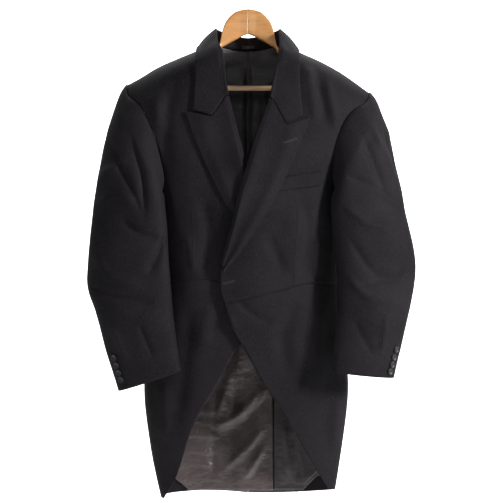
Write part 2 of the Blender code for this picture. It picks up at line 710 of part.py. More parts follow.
def vent_underlap():
    """The strip of the right tail that lies under the left one at the vent."""
    rows, cols = 9, 7
    pts = np.zeros((rows, cols, 3))
    nrm = np.zeros((rows, cols, 3))
    for i, z in enumerate(np.linspace(-712.0, -1110.0, rows)):
        for j, x in enumerate((-14.0, -6.0, 4.0, 12.0, 24.0, 40.0, 57.0)):
            p, n = place(x, z, False, 1)
            pts[i, j], nrm[i, j] = p - n * (2.5 + 2.9 * smoothstep(-6.0, 12.0, x)), n
    cloth("vent_underlap", pts, nrm, CLOTH, "wool", (0, 0, 0, 0))


def neck_lining(side, word):
    rows, cols = 9, 7
    pts = np.zeros((rows, cols, 3))
    nrm = np.zeros((rows, cols, 3))
    for i, z in enumerate(np.linspace(-172.0, -470.0, rows)):
        for j, x in enumerate(np.linspace(0.2, 40.0 + 60 * smoothstep(-172, -300, z), cols)):
            p, n = place(side * x, z, False, side)
            pts[i, j], nrm[i, j] = p - n * (CLOTH + 2.4), n
    cloth("neck_lining_" + word, pts, nrm, LINING, "neck_satin", (0, 0, 0, 0))


# Hanger arm: x, top, bottom, place in y.
ARM = (
    ("x", "top", "bottom", "y"),
    (0.15, -75, -129, 0), (14, -77, -134, 0), (26, -81, -141, -1), (40, -93, -149, -3), (51, -110, -156, -5),
    (56, -128, -159, -6), (60, -150, -163, -7), (68, -163, -181, -8), (90, -170.3, -190, -8),
    (109, -178.1, -198, -8), (150, -196.1, -215, -9), (193, -218.0, -236, -11), (203, -227, -242, -11),
    (207, -230, -253, -11), (220, -241, -253, -11),
)


def hanger_arm(side, word):
    """One wooden half of the hanger: rounded sections along its length."""
    rows = []
    for x, top, bottom, y in ARM[1:]:
        mid, high, ring = (top + bottom) / 2, (top - bottom) / 2, []
        for k in range(12):
            a = 2 * math.pi * (k + 0.5) / 12
            c, s = math.cos(a), math.sin(a)
            ring.append((side * x, y + 7 * math.copysign(abs(c) ** 0.6, c),
                         mid + high * math.copysign(abs(s) ** 0.6, s)))
        rows.append(ring)
    return tube("hanger_arm_" + word, np.array(rows, float), "honey_wood")


def tube(name, rings, kind):
    """Solid through closed rings, capped at both ends."""
    bm = bmesh.new()
    verts = [[bm.verts.new(Vector(p * MM)) for p in ring] for ring in rings]
    count = len(verts[0])
    for a, b in zip(verts, verts[1:]):
        for k in range(count):
            bm.faces.new((a[k], a[(k + 1) % count], b[(k + 1) % count], b[k]))
    bm.faces.new(verts[0][::-1])
    bm.faces.new(verts[-1])
    return paint(finish_mesh(name, bm), kind)


def wire(name, path, radius, kind, steps=10):
    """Round wire along a path."""
    path = np.array(path, float)
    rings = []
    guide = np.array([0.0, 1.0, 0.0])
    for i, p in enumerate(path):
        d = path[min(i + 1, len(path) - 1)] - path[max(i - 1, 0)]
        d /= np.linalg.norm(d)
        a = guide - (guide @ d) * d
        a = a / np.linalg.norm(a) if np.linalg.norm(a) > 0.1 else np.array([1.0, 0, 0])
        b = np.cross(d, a)
        rings.append([p + radius * (a * math.cos(t) + b * math.sin(t))
                      for t in np.linspace(0, 2 * math.pi, steps, endpoint=False)])
    return tube(name, np.array(rings), kind)


def build_hanger():
    """Two wooden arms, the trouser bar and the wire hook, whose bend passes over the origin."""
    hanger_arm(1, "left")
    hanger_arm(-1, "right")
    wire("trouser_bar", ((-200.8, -11, -247), (0, -11, -247), (200.8, -11, -247)), 5.5, "honey_wood", 14)
    r, c = 19.7, -18.0
    path = [(0, 0, -74.7), (0, 0, -50), (-1, 0, -44)]
    for degree in range(-110, -331, -15):
        a = math.radians(degree)
        path.append((r * math.cos(a), 0, c + r * math.sin(a)))
    wire("hanger_hook", path, 1.7, "hook_steel")


def hanger_loop():
    """Plain cloth loop at the middle of the neck seam."""
    path = []
    for a in np.linspace(0, 1, 11):
        x = -13 + 26 * a
        path.append((x, 28.1 - 4.0 * math.sin(math.pi * a), -151 - 1.5 * math.sin(math.pi * a)))
    rings = [[(x, y - 0.8, z - 3.5), (x, y + 0.8, z - 3.5), (x, y + 0.8, z + 3.5), (x, y - 0.8, z + 3.5)]
             for x, y, z in path]
    tube("hanger_loop", np.array(rings), "neck_satin")


def build():
    """The whole coat on its hanger."""
    for thing in list(bpy.data.objects):
        bpy.data.objects.remove(thing, do_unlink=True)
    outers = []
    sides = ((LEFT, 1, "left", SLEEVE_LEFT), (RIGHT, -1, "right", SLEEVE_RIGHT))
    made = {}
    for seams, side, word, _ in sides:
        parts = panels(seams, side)
        made[side] = parts
        for name in ("forepart", "sidebody", "back", "skirt"):
            pts, nrm = on_body(parts[name], side)
            if name == "forepart":
                pts, nrm = fix_shoulder(pts, nrm)
            if name == "back":
                pts[0, COLS["neck"] - 1:, 1] = CENTRE_Y
            outers.append(pts)
            cloth(name + "_" + word, pts, nrm)
    tree = body_tree(outers)
    for seams, side, word, table in sides:
        g, n = build_sleeve(made[side], side, table, word)
        build_cuff_buttons(g, n, side, word)
        build_lapel(seams, side, word)
        tail_lining(side, word)
        neck_lining(side, word)
        spot, face = place(side * 47, -652, False, side)
        button("back_button_" + word, spot, face, 1.2)
    build_collar(tree)
    vent_underlap()
    patch("breast_welt", ((78, -443), (151, -430), (147, -460), (70, -470)), 1, 1.0, 2.0)
    spot, face = place(-28, -655, True, -1)
    button("waist_button", spot, face, 0.75)
    build_hanger()
    hanger_loop()


build()
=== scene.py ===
"""Black morning coat on a wooden hanger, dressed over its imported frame.

Tables are in millimetres in the frame's own axes; meshes are in metres.
"""
import math

import bmesh
import bpy
import numpy as np
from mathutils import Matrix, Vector
from mathutils.bvhtree import BVHTree


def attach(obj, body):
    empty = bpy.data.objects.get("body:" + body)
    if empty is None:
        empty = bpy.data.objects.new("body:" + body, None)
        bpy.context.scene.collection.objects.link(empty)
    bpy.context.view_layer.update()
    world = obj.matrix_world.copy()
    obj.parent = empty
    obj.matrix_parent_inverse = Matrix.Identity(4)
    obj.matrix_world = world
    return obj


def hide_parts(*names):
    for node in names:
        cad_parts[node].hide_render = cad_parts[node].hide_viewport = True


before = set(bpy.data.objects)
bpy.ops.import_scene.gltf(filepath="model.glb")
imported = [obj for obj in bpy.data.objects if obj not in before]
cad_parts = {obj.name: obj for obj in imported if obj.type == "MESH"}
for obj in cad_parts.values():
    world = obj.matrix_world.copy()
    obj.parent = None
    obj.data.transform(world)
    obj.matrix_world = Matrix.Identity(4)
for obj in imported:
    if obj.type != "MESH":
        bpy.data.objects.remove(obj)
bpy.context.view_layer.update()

MM = 0.001
FINE = 7
CLOTH = 1.9
LINING = 0.9
EXPONENT = 2.2
RIDGE_DROP = 70.0
CENTRE_Y = -8.0
LAPEL_RISE = 5.0
FOLD_RADIUS = 3.5
RIM = 0.34
EDGE_IN = 0.36

# Rows of the body's shape: height, half width, front depth, back depth, shift in x.
BODY = (
    ("z", "half", "front", "back", "shift"),
    (-110.0, 300.0, 48.0, 46.0, 0.0),
    (-200.0, 298.0, 62.0, 52.0, 0.0),
    (-280.0, 284.0, 78.0, 58.0, 0.0),
    (-360.0, 245.0, 90.0, 62.0, 0.0),
    (-470.0, 208.0, 95.0, 58.0, 0.0),
    (-560.0, 198.0, 90.0, 52.0, 0.0),
    (-650.0, 194.0, 84.0, 46.0, 0.0),
    (-760.0, 203.0, 78.0, 50.0, -2.0),
    (-880.0, 218.0, 70.0, 52.0, -4.0),
    (-1000.0, 206.0, 54.0, 44.0, -4.0),
    (-1140.0, 180.5, 34.0, 30.0, -0.5),
)
# Shoulder line: x, height.
SHOULDER = (
    ("x", "z"),
    (-300.0, -268.0), (-266.0, -244.0), (-232.0, -226.0), (-189.0, -201.0), (-150.0, -184.0),
    (-111.0, -168.0), (-72.0, -149.0), (-30.0, -128.0), (0.0, -122.0), (30.0, -129.0),
    (72.0, -151.0), (109.0, -170.0), (150.0, -188.0), (193.0, -211.0), (229.0, -235.0),
    (266.0, -262.0), (300.0, -288.0),
)


# Seams and edges, each a short list of x, height. LEFT is the wearer's left (+X).
LEFT = {
    "neck_and_roll": ((73, -152), (70, -173), (59, -234), (49, -281), (22, -357), (-1, -432), (-17, -490),
                      (-25, -524), (-40, -582), (-56, -640), (-57, -668), (-47, -703)),
    "shoulder": ((73, -152), (109, -170), (150, -188), (193, -211), (229, -235), (258, -256)),
    "armhole_front": ((258, -256), (251, -277), (214, -306), (191, -342), (179, -384), (174, -446), (178, -464)),
    "side_seam": ((178, -464), (181, -561), (175, -662)),
    "waist_front": ((-47, -703), (-6, -692), (45, -680), (92, -668), (131, -661), (175, -662)),
    "cutaway": ((-47, -703), (-35, -746), (-16, -781), (2, -812), (22, -849), (46, -887), (76, -934),
                (105, -983), (131, -1031), (150, -1064), (171, -1097)),
    "armhole_back": ((160, -425), (176, -385), (203, -325), (234, -283), (258, -256)),
    "side_back": ((160, -425), (140, -470), (105, -540), (74, -600), (56, -664)),
    "pleat": ((56, -664), (62, -760), (78, -900), (92, -1020), (100, -1116)),
    "neck_back": ((0, -158), (25, -157), (50, -154), (73, -152)),
    "centre": ((0, -158), (0, -430), (0, -664), (0, -900), (0, -1118)),
    "hem_back": ((0, -1118), (50, -1118), (100, -1116)),
    "gorge": ((49, -281), (77, -336), (129, -319)),
    "lapel_edge": ((129, -319), (116, -349), (98, -392), (72, -455), (45, -506), (14, -557), (-16, -602),
                   (-38, -626), (-50, -641)),
    "collar_end": ((49, -281), (77, -335.6), (112, -317)),
}
RIGHT = {
    "neck_and_roll": ((-73, -150), (-64, -170), (-54, -222), (-44, -275), (-24, -355), (-5, -431), (10, -500),
                      (24, -570), (37, -640), (37, -668), (29, -692)),
    "shoulder": ((-73, -150), (-111, -168), (-150, -184), (-189, -201), (-232, -226), (-258, -240)),
    "armhole_front": ((-258, -240), (-254, -262), (-224, -293), (-199, -342), (-183, -394), (-173, -450),
                      (-176, -466)),
    "side_seam": ((-176, -466), (-180, -561), (-173, -658)),
    "waist_front": ((29, -692), (-14, -672), (-61, -655), (-119, -652), (-173, -658)),
    "cutaway": ((29, -692), (18, -735), (1, -765), (-18, -790), (-36, -816), (-58, -858), (-82, -899),
                (-106, -941), (-122, -978), (-134, -1018), (-144, -1049), (-153, -1074), (-179, -1119)),
    "armhole_back": ((-160, -425), (-176, -385), (-203, -325), (-234, -277), (-258, -240)),
    "side_back": ((-160, -425), (-140, -470), (-105, -540), (-74, -600), (-56, -660)),
    "pleat": ((-56, -660), (-62, -760), (-78, -900), (-92, -1020), (-104, -1112)),
    "neck_back": ((0, -158), (-25, -157), (-50, -154), (-73, -150)),
    "centre": ((0, -158), (0, -430), (0, -664), (0, -900), (0, -1118)),
    "hem_back": ((0, -1118), (-50, -1114), (-104, -1112)),
    "gorge": ((-44, -275), (-74, -319), (-129, -307)),
    "lapel_edge": ((-129, -307), (-119, -338), (-98, -391), (-74, -444), (-47, -495), (-24, -530), (0, -575),
                   (17, -600), (31, -617)),
    "collar_end": ((-44, -275), (-74, -318.6), (-114, -306)),
}
# Sleeve sections from armhole to cuff: inner point, outer point, half depth.
SLEEVE_LEFT = (
    ("xi", "yi", "zi", "xo", "yo", "zo", "deep"),
    (174, -68, -474, 279, -18, -288, 50),
    (171, -76, -502, 298, -26, -345, 47),
    (173, -82, -545, 314, -36, -420, 43),
    (178, -86, -592, 330, -46, -510, 40),
    (181, -90, -648, 349, -56, -625, 38),
    (181, -95, -705, 338, -66, -700, 36),
    (176, -102, -778, 318, -78, -780, 31),
    (170, -108, -838, 299, -88, -853, 25),
)
SLEEVE_RIGHT = (
    ("xi", "yi", "zi", "xo", "yo", "zo", "deep"),
    (-173, -68, -477, -279, -18, -280, 50),
    (-170, -76, -503, -297, -26, -340, 47),
    (-166, -82, -545, -310, -36, -410, 43),
    (-163, -86, -594, -326, -46, -525, 40),
    (-159, -90, -658, -336, -56, -650, 38),
    (-153, -95, -716, -316, -66, -717, 36),
    (-145, -102, -778, -297, -78, -782, 31),
    (-136, -108, -836, -265, -88, -880, 25),
)
# Mesh rows and columns shared by neighbouring panels.
ROWS = {"arm": 10, "arm_back": 8, "side": 8, "skirt": 12}
COLS = {"front": 11, "under": 8, "back": 7, "neck": 4}


# Collar rows from the gorge to the centre back: place on the neck seam, apex of the fold, free edge.
COLLAR_LEFT = (
    ("front", "xn", "zn", "xf", "yf", "zf", "xe", "ze"),
    (1, 49, -281, 44.5, -91, -280, 112, -317),
    (1, 59, -234, 53, -80, -234, 109.5, -283),
    (1, 68, -190, 61.5, -66, -190, 106.5, -235),
    (1, 71.5, -166, 66, -36, -150, 106, -193),
    (1, 73, -152.5, 67, -5, -119, 104, -165),
    (0, 58, -153, 54, 14, -121, 92, -181),
    (0, 30, -156.5, 28, 26, -127, 50, -181),
    (0, 0.1, -158, 0, 31, -130, 0, -179),
)
COLLAR_RIGHT = (
    ("front", "xn", "zn", "xf", "yf", "zf", "xe", "ze"),
    (1, -44, -275, -39.5, -91, -274, -114, -306),
    (1, -51.6, -222, -47.5, -77, -222, -111, -272),
    (1, -56.2, -180, -52.5, -61, -180, -109, -228),
    (1, -67.5, -162, -64, -36, -148, -108, -190),
    (1, -73, -150.5, -67, -5, -118, -105, -163),
    (0, -58, -153, -54, 14, -121, -92, -180),
    (0, -30, -156.5, -28, 26, -127, -50, -181),
    (0, -0.1, -158, 0, 31, -130, 0, -179),
)


ROLL = {
    1: ((49, -283), (22, -357), (-1, -432), (-17, -490), (-25, -524), (-40, -582), (-51, -622)),
    -1: ((-44, -277), (-24, -355), (-5, -431), (10, -500), (24, -570), (31, -606)),
}




def column(table, name):
    """One named column of a table."""
    at = table[0].index(name)
    return np.array([row[at] for row in table[1:]], dtype=float)


def slopes(xs, ys):
    """Slopes of a monotone cubic through the rows."""
    h = np.diff(xs)
    d = np.diff(ys) / h
    m = np.zeros_like(ys)
    m[0], m[-1] = d[0], d[-1]
    for i in range(1, len(ys) - 1):
        if d[i - 1] * d[i] > 0:
            w1, w2 = 2 * h[i] + h[i - 1], h[i] + 2 * h[i - 1]
            m[i] = (w1 + w2) / (w1 / d[i - 1] + w2 / d[i])
    return m


def smooth_lookup(xs, ys, x):
    """Smooth value of a table's column between its rows."""
    xs, ys = np.asarray(xs, float), np.asarray(ys, float)
    m = slopes(xs, ys)
    x = np.clip(x, xs[0], xs[-1])
    i = np.clip(np.searchsorted(xs, x) - 1, 0, len(xs) - 2)
    h = (xs[1:] - xs[:-1])[i]
    t = (x - xs[i]) / h
    a = (1 + 2 * t) * (1 - t) ** 2 * ys[i] + t * (1 - t) ** 2 * h * m[i]
    return a + t * t * (3 - 2 * t) * ys[i + 1] + t * t * (t - 1) * h * m[i + 1]


BODY_Z = column(BODY, "z")[::-1]
BODY_COLUMNS = [column(BODY, name)[::-1] for name in ("half", "front", "back", "shift")]


def body_row(z):
    return [smooth_lookup(BODY_Z, values, z) for values in BODY_COLUMNS]


def shoulder_z(x):
    return smooth_lookup(column(SHOULDER, "x"), column(SHOULDER, "z"), x)


def smoothstep(a, b, x):
    t = np.clip((x - a) / (b - a), 0.0, 1.0)
    return t * t * (3 - 2 * t)


def layer_shift(x, z, side):
    """Left front lies over the right one where they overlap."""
    low = smoothstep(-330.0, -430.0, z)
    if side > 0:
        return -4.0 * low * smoothstep(70.0, 0.0, x)
    return 6.0 * low * smoothstep(-130.0, -70.0, x)


def surface(q, z, side):
    """Points of the body at turn q (front where sin q > 0) and height z."""
    half, front, back, shift = body_row(z)
    c, s = np.cos(q), np.sin(q)
    x = shift + half * np.sign(c) * np.abs(c) ** (2 / EXPONENT)
    drop = np.clip((shoulder_z(x) - z) / RIDGE_DROP, 0.0, 1.0)
    ridge = np.sqrt(np.maximum(1 - (1 - drop) ** 2, 0.0))
    round_y = np.abs(s) ** (2 / EXPONENT) * ridge
    y = np.where(s >= 0, CENTRE_Y - front * round_y + layer_shift(x, z, side), CENTRE_Y + back * round_y)
    return np.stack([x, y, z + 0 * x], axis=-1)


def turn(x, z, front=True, side=1):
    half, _, _, shift = body_row(z)
    r = np.clip((x - shift) / half, -1.0, 1.0)
    q = np.arccos(np.sign(r) * np.abs(r) ** (EXPONENT / 2))
    if front:
        return q
    return -q if side > 0 else 2 * math.pi - q


def unit(v):
    return v / np.maximum(np.linalg.norm(v, axis=-1, keepdims=True), 1e-9)


def normal(q, z, side):
    """Outward normals of the body; square to the shoulder line on the ridge."""
    p = surface(q, z, side)
    a = surface(q + 0.01, z, side) - surface(q - 0.01, z, side)
    b = surface(q, z + 0.4, side) - surface(q, z - 1.6, side)
    n = unit(np.cross(b, a))
    away = np.stack([np.cos(q), -np.sin(q), 0 * q], axis=-1)
    n = n * np.where((n * away).sum(-1) > 0, 1.0, -1.0)[..., None]
    slope = shoulder_z(p[..., 0] + 5) - shoulder_z(p[..., 0] - 5)
    up = unit(np.stack([-slope, 0 * slope, 10.0 + 0 * slope], axis=-1))
    near = (shoulder_z(p[..., 0]) - p[..., 2] < 1.0)[..., None]
    return np.where(near, up, n)


def spline(points, count, power=1.0):
    """Evenly spaced points of a smooth curve through the rows of a short list."""
    pts = np.asarray(points, float)
    step = np.r_[0.0, np.cumsum(np.linalg.norm(np.diff(pts, axis=0), axis=1))]
    where = np.linspace(0, 1, count) ** power * step[-1]
    return np.stack([smooth_lookup(step, pts[:, k], where) for k in range(pts.shape[1])], axis=1)


def bent(points, count):
    """Evenly spaced points of a line with sharp corners; each corner keeps a point."""
    pts = np.asarray(points, float)
    lengths = np.linalg.norm(np.diff(pts, axis=0), axis=1)
    step = np.r_[0.0, np.cumsum(lengths)] / lengths.sum()
    where = np.linspace(0, 1, count)
    for at in step[1:-1]:
        where[np.argmin(np.abs(where - at))] = at
    return np.stack([np.interp(where, step, pts[:, k]) for k in range(pts.shape[1])], axis=1)


def coons(top, bottom, left, right):
    u = np.linspace(0, 1, len(top))[None, :, None]
    v = np.linspace(0, 1, len(left))[:, None, None]
    ruled = (1 - u) * left[:, None] + u * right[:, None]
    bend_top = top[None] - (1 - u) * top[0] - u * top[-1]
    bend_bottom = bottom[None] - (1 - u) * bottom[0] - u * bottom[-1]
    return ruled + bend_top * (1 - v) ** 3 + bend_bottom * v ** 3


def on_body(chart, side):
    q, z = chart[..., 0], chart[..., 1]
    return surface(q, z, side), normal(q, z, side)


def place(x, z, front, side, lift=0.0):
    x, z = np.asarray(x, float), np.asarray(z, float)
    q = turn(x, z, front, side)
    n = normal(q, z, side)
    return surface(q, z, side) + n * np.asarray(lift, float)[..., None], n


def grid_normals(g, closed=False):
    if closed:
        du = np.roll(g, -1, axis=1) - np.roll(g, 1, axis=1)
    else:
        du = np.gradient(g, axis=1)
    return unit(np.cross(du, np.gradient(g, axis=0)))


def fine(count):
    return (count - 1) * FINE + 1


def chart_line(seams, name, count, front=True, side=1, power=1.0):
    pts = spline(seams[name], count, power)
    return np.stack([turn(pts[:, 0], pts[:, 1], front, side), pts[:, 1]], axis=1)


def panels(seams, side):
    """Charts of one side's panels and of its armhole."""
    def line(name, count, front=True, power=1.0):
        return chart_line(seams, name, fine(count), front, side, power)
    arm = line("armhole_front", ROWS["arm"])
    seam = line("side_seam", ROWS["side"])
    back_arm = line("armhole_back", ROWS["arm_back"], False)
    side_back = line("side_back", ROWS["side"], False)
    pleat = line("pleat", ROWS["skirt"], False)
    front_edge = line("neck_and_roll", ROWS["arm"] + ROWS["side"] - 1, power=1.2)
    waist = line("waist_front", COLS["front"])
    forepart = coons(line("shoulder", COLS["front"]), waist, front_edge, np.vstack([arm, seam[1:]]))
    ease = np.linspace(0, 1, fine(COLS["under"]))[:, None]
    under = (1 - ease) * seam[0] + ease * side_back[0]
    under[:, 1] -= 16 * np.sin(math.pi * ease[:, 0]) ** 0.8
    belt = (1 - ease) * seam[-1] + ease * side_back[-1]
    sidebody = coons(under, belt, seam, side_back)
    edge = np.vstack([back_arm[::-1], side_back[1:], pleat[1:]])
    top = np.vstack([line("neck_back", COLS["neck"], False), line("shoulder", COLS["back"], False)[1:]])
    centre = chart_line(seams, "centre", len(edge), False, side)
    hem = chart_line(seams, "hem_back", len(top), False, side)
    back = coons(top, hem, centre, edge)
    cutaway = line("cutaway", ROWS["skirt"])
    skirt_top = np.vstack([waist, belt[1:]])
    step = np.linspace(0, 1, len(skirt_top))[:, None]
    skirt = coons(skirt_top, (1 - step) * cutaway[-1] + step * pleat[-1], cutaway, pleat)
    loop = np.vstack([arm, under[1:], back_arm[1:-1]])
    return {"forepart": forepart, "sidebody": sidebody, "back": back, "skirt": skirt, "loop": loop}


# Creases: which cloth, height (plus is a ridge), half width, then the line as x, height.
FRONT_CREASES = (
    (-3.0, 17, (-146, -230), (-171, -330), (-168, -450)),
    (2.6, 16, (-188, -270), (-178, -350)),
    (-2.4, 16, (-95, -480), (-80, -560), (-86, -640)),
    (1.8, 12, (-125, -560), (-110, -640)),
    (2.4, 15, (122, -205), (140, -330)),
    (2.6, 13, (160, -240), (182, -345)),
    (-2.4, 14, (142, -215), (163, -330)),
    (-1.8, 14, (40, -560), (75, -640)),
    (-2.4, 18, (110, -480), (124, -560), (112, -650)),
    (2.0, 12, (150, -560), (140, -650)),
    (3.2, 20, (155, -676), (142, -800), (150, -900)),
    (-3.0, 20, (108, -690), (72, -770), (82, -860)),
    (1.6, 7, (-38, -725), (-24, -752)),
    (-2.6, 20, (-120, -690), (-128, -800), (-150, -960)),
    (2.4, 18, (-80, -700), (-96, -800)),
    (2.6, 16, (-176, -860), (-172, -1000)),
    (2.4, 16, (188, -880), (180, -1010)),
    (-1.6, 9, (-30, -690), (30, -735), (60, -742)),
)
BACK_CREASES = (
    (-3.0, 16, (-60, -200), (-20, -235), (40, -228), (80, -205)),
    (-3.2, 18, (-150, -260), (-120, -380), (-95, -520)),
    (2.8, 16, (-185, -290), (-160, -400)),
    (-3.0, 18, (155, -270), (122, -390), (100, -530)),
    (2.6, 16, (188, -300), (165, -410)),
    (2.2, 14, (-40, -400), (-32, -560)),
    (-2.0, 14, (34, -420), (28, -580)),
    (-2.6, 12, (-90, -640), (-20, -618), (50, -628), (95, -646)),
    (2.0, 10, (-70, -600), (0, -590), (70, -604)),
    (3.0, 20, (-110, -700), (-128, -860), (-140, -1040)),
    (-3.0, 18, (-150, -690), (-165, -880)),
    (3.0, 20, (112, -700), (130, -860), (138, -1040)),
    (-2.6, 18, (160, -690), (172, -880)),
    (1.8, 12, (-30, -760), (-36, -1000)),
    (2.0, 12, (28, -740), (38, -980)),
)
LINING_CREASES = (
    (4.2, 9, (46, -878), (14, -918), (-34, -960), (-74, -978)),
    (-3.4, 9, (48, -900), (16, -944), (-26, -984), (-66, -1004)),
    (3.6, 8, (56, -940), (22, -994), (-22, -1040), (-60, -1076)),
    (3.0, 6, (-30, -842), (-44, -890), (-64, -946)),
    (-2.6, 8, (10, -838), (-14, -884), (-34, -944)),
    (0.9, 5, (-134, -938), (-96, -944), (-58, -942)),
    (0.8, 4, (-132, -962), (-98, -966), (-60, -972)),
    (1.0, 5, (-136, -990), (-100, -996), (-56, -1000)),
    (0.9, 5, (-142, -1022), (-104, -1030), (-60, -1030)),
    (0.8, 4, (-140, -1052), (-100, -1056), (-62, -1062)),
    (-2.0, 5, (-72, -872), (-74, -960), (-78, -1100)),
    (2.8, 7, (54, -986), (26, -1036), (-12, -1090)),
    (1.4, 4, (40, -1010), (12, -1060), (-6, -1096)),
    (-1.2, 4, (30, -1050), (4, -1090)),
    (1.6, 7, (76, -960), (84, -1020), (96, -1090)),
    (-1.4, 7, (98, -985), (106, -1040), (112, -1095)),
    (1.2, 5, (62, -1000), (72, -1050), (78, -1098)),
    (1.0, 4, (112, -1030), (120, -1060), (124, -1098)),
)
NECK_CREASES = (
    (3.0, 6, (0, -165), (1, -300), (0, -430)),
    (-2.0, 8, (-14, -190), (-18, -380)),
    (2.2, 9, (30, -200), (38, -330), (30, -440)),
    (1.8, 8, (-44, -210), (-40, -360)),
)
SLEEVE_CREASES = {
    1: (
        (-5.0, 15, (205, -300), (255, -400), (286, -478)),
        (4.0, 13, (232, -290), (280, -392)),
        (-4.0, 13, (282, -340), (318, -420), (342, -462)),
        (3.2, 11, (300, -330), (326, -385)),
        (-4.5, 14, (194, -438), (255, -462), (330, -510)),
        (3.6, 13, (190, -500), (250, -540), (300, -548)),
        (-3.0, 16, (200, -560), (260, -640), (330, -662)),
        (3.0, 14, (196, -640), (250, -690), (320, -700)),
        (-3.0, 12, (338, -600), (290, -650), (240, -652)),
        (-2.4, 13, (210, -730), (250, -800)),
        (2.0, 11, (280, -720), (270, -800)),
    ),
    -1: (
        (-5.0, 14, (-258, -300), (-232, -380), (-214, -455), (-208, -530)),
        (4.0, 12, (-240, -290), (-206, -370), (-186, -440)),
        (-4.2, 12, (-296, -360), (-258, -430), (-214, -520)),
        (3.6, 12, (-310, -440), (-270, -420), (-244, -400)),
        (3.6, 12, (-316, -500), (-262, -480), (-218, -490)),
        (-3.8, 13, (-262, -530), (-216, -560), (-176, -570)),
        (-4.0, 14, (-206, -640), (-184, -610), (-166, -560)),
        (3.2, 14, (-320, -600), (-270, -650), (-200, -672)),
        (-3.0, 13, (-326, -668), (-260, -690), (-180, -700)),
        (2.4, 12, (-280, -740), (-240, -820)),
        (-2.0, 11, (-220, -740), (-190, -810)),
    ),
}


def crease(x, z, strokes, gain=1.0, slim=1.0, crisp=False):
    """Height of the soft troughs and ridges at each point."""
    total = np.zeros_like(x)
    for stroke in strokes:
        high, wide, line = stroke[0], stroke[1], np.array(stroke[2:], float)
        line = spline(line, 14) if len(line) > 2 else spline(line, 6)
        best = np.full(x.shape, 1e9)
        along = np.zeros(x.shape)
        for k in range(len(line) - 1):
            a, b = line[k], line[k + 1]
            d = b - a
            t = np.clip(((x - a[0]) * d[0] + (z - a[1]) * d[1]) / (d @ d), 0, 1)
            far = (x - a[0] - t * d[0]) ** 2 + (z - a[1] - t * d[1]) ** 2
            near = far < best
            best = np.where(near, far, best)
            along = np.where(near, (k + t) / (len(line) - 1), along)
        taper = np.clip(np.sin(math.pi * np.clip(along, 0.03, 0.97)) * 1.7, 0, 1)
        if crisp:
            fall = np.exp(-1.15 * (np.sqrt(best + 1.2) - 1.1) / (wide * slim))
        else:
            fall = np.exp(-best / (wide * slim) ** 2)
        total += gain * high * taper * fall
    return total


def ripple(x, z, size, seed):
    """Slow uneven swell of hanging cloth."""
    a, b = x / size, z / (size * 2.1)
    wave = np.sin(a * 2.3 + 1.7 * np.sin(b * 1.9 + seed) + seed) + 0.6 * np.sin(a * 3.9 - b * 2.7 + 2 * seed)
    return wave * 0.5 + 0.4 * np.sin(b * 5.3 + a * 1.1 + seed)


def folds_of_body(p, q):
    """Fold heights on the body: the front's table where it faces forward, else the back's."""
    x, z = p[..., 0], p[..., 2]
    facing = smoothstep(-0.15, 0.15, np.sin(q))
    front = crease(x, z, FRONT_CREASES, 1.9, 0.85) + 0.5 * ripple(x, z, 60.0, 0.4)
    back = crease(x, z, BACK_CREASES) + 0.7 * ripple(x, z, 52.0, 2.1)
    calm = smoothstep(0.0, 30.0, shoulder_z(x) - z)
    return (front * facing + back * (1 - facing)) * calm


def pull_in(grid, gap, sides=(1, 1, 1, 1)):
    g = grid.copy()
    edges = ((0, 1, 0), (-1, -2, 0), (0, 1, 1), (-1, -2, 1))
    for on, (at, toward, axis) in zip(sides, edges):
        if on:
            a, b = (g[at], grid[toward]) if axis == 0 else (g[:, at], grid[:, toward])
            origin = grid[at] if axis == 0 else grid[:, at]
            a += unit(b - origin) * gap
    return g


def border(rows, cols):
    """Grid places round the edge, in order, each with its inner neighbour."""
    ring = [((0, j), (1, j)) for j in range(cols)]
    ring += [((i, cols - 1), (i, cols - 2)) for i in range(1, rows)]
    ring += [((rows - 1, j), (rows - 2, j)) for j in range(cols - 2, -1, -1)]
    ring += [((i, 0), (i, 1)) for i in range(rows - 2, 0, -1)]
    return ring


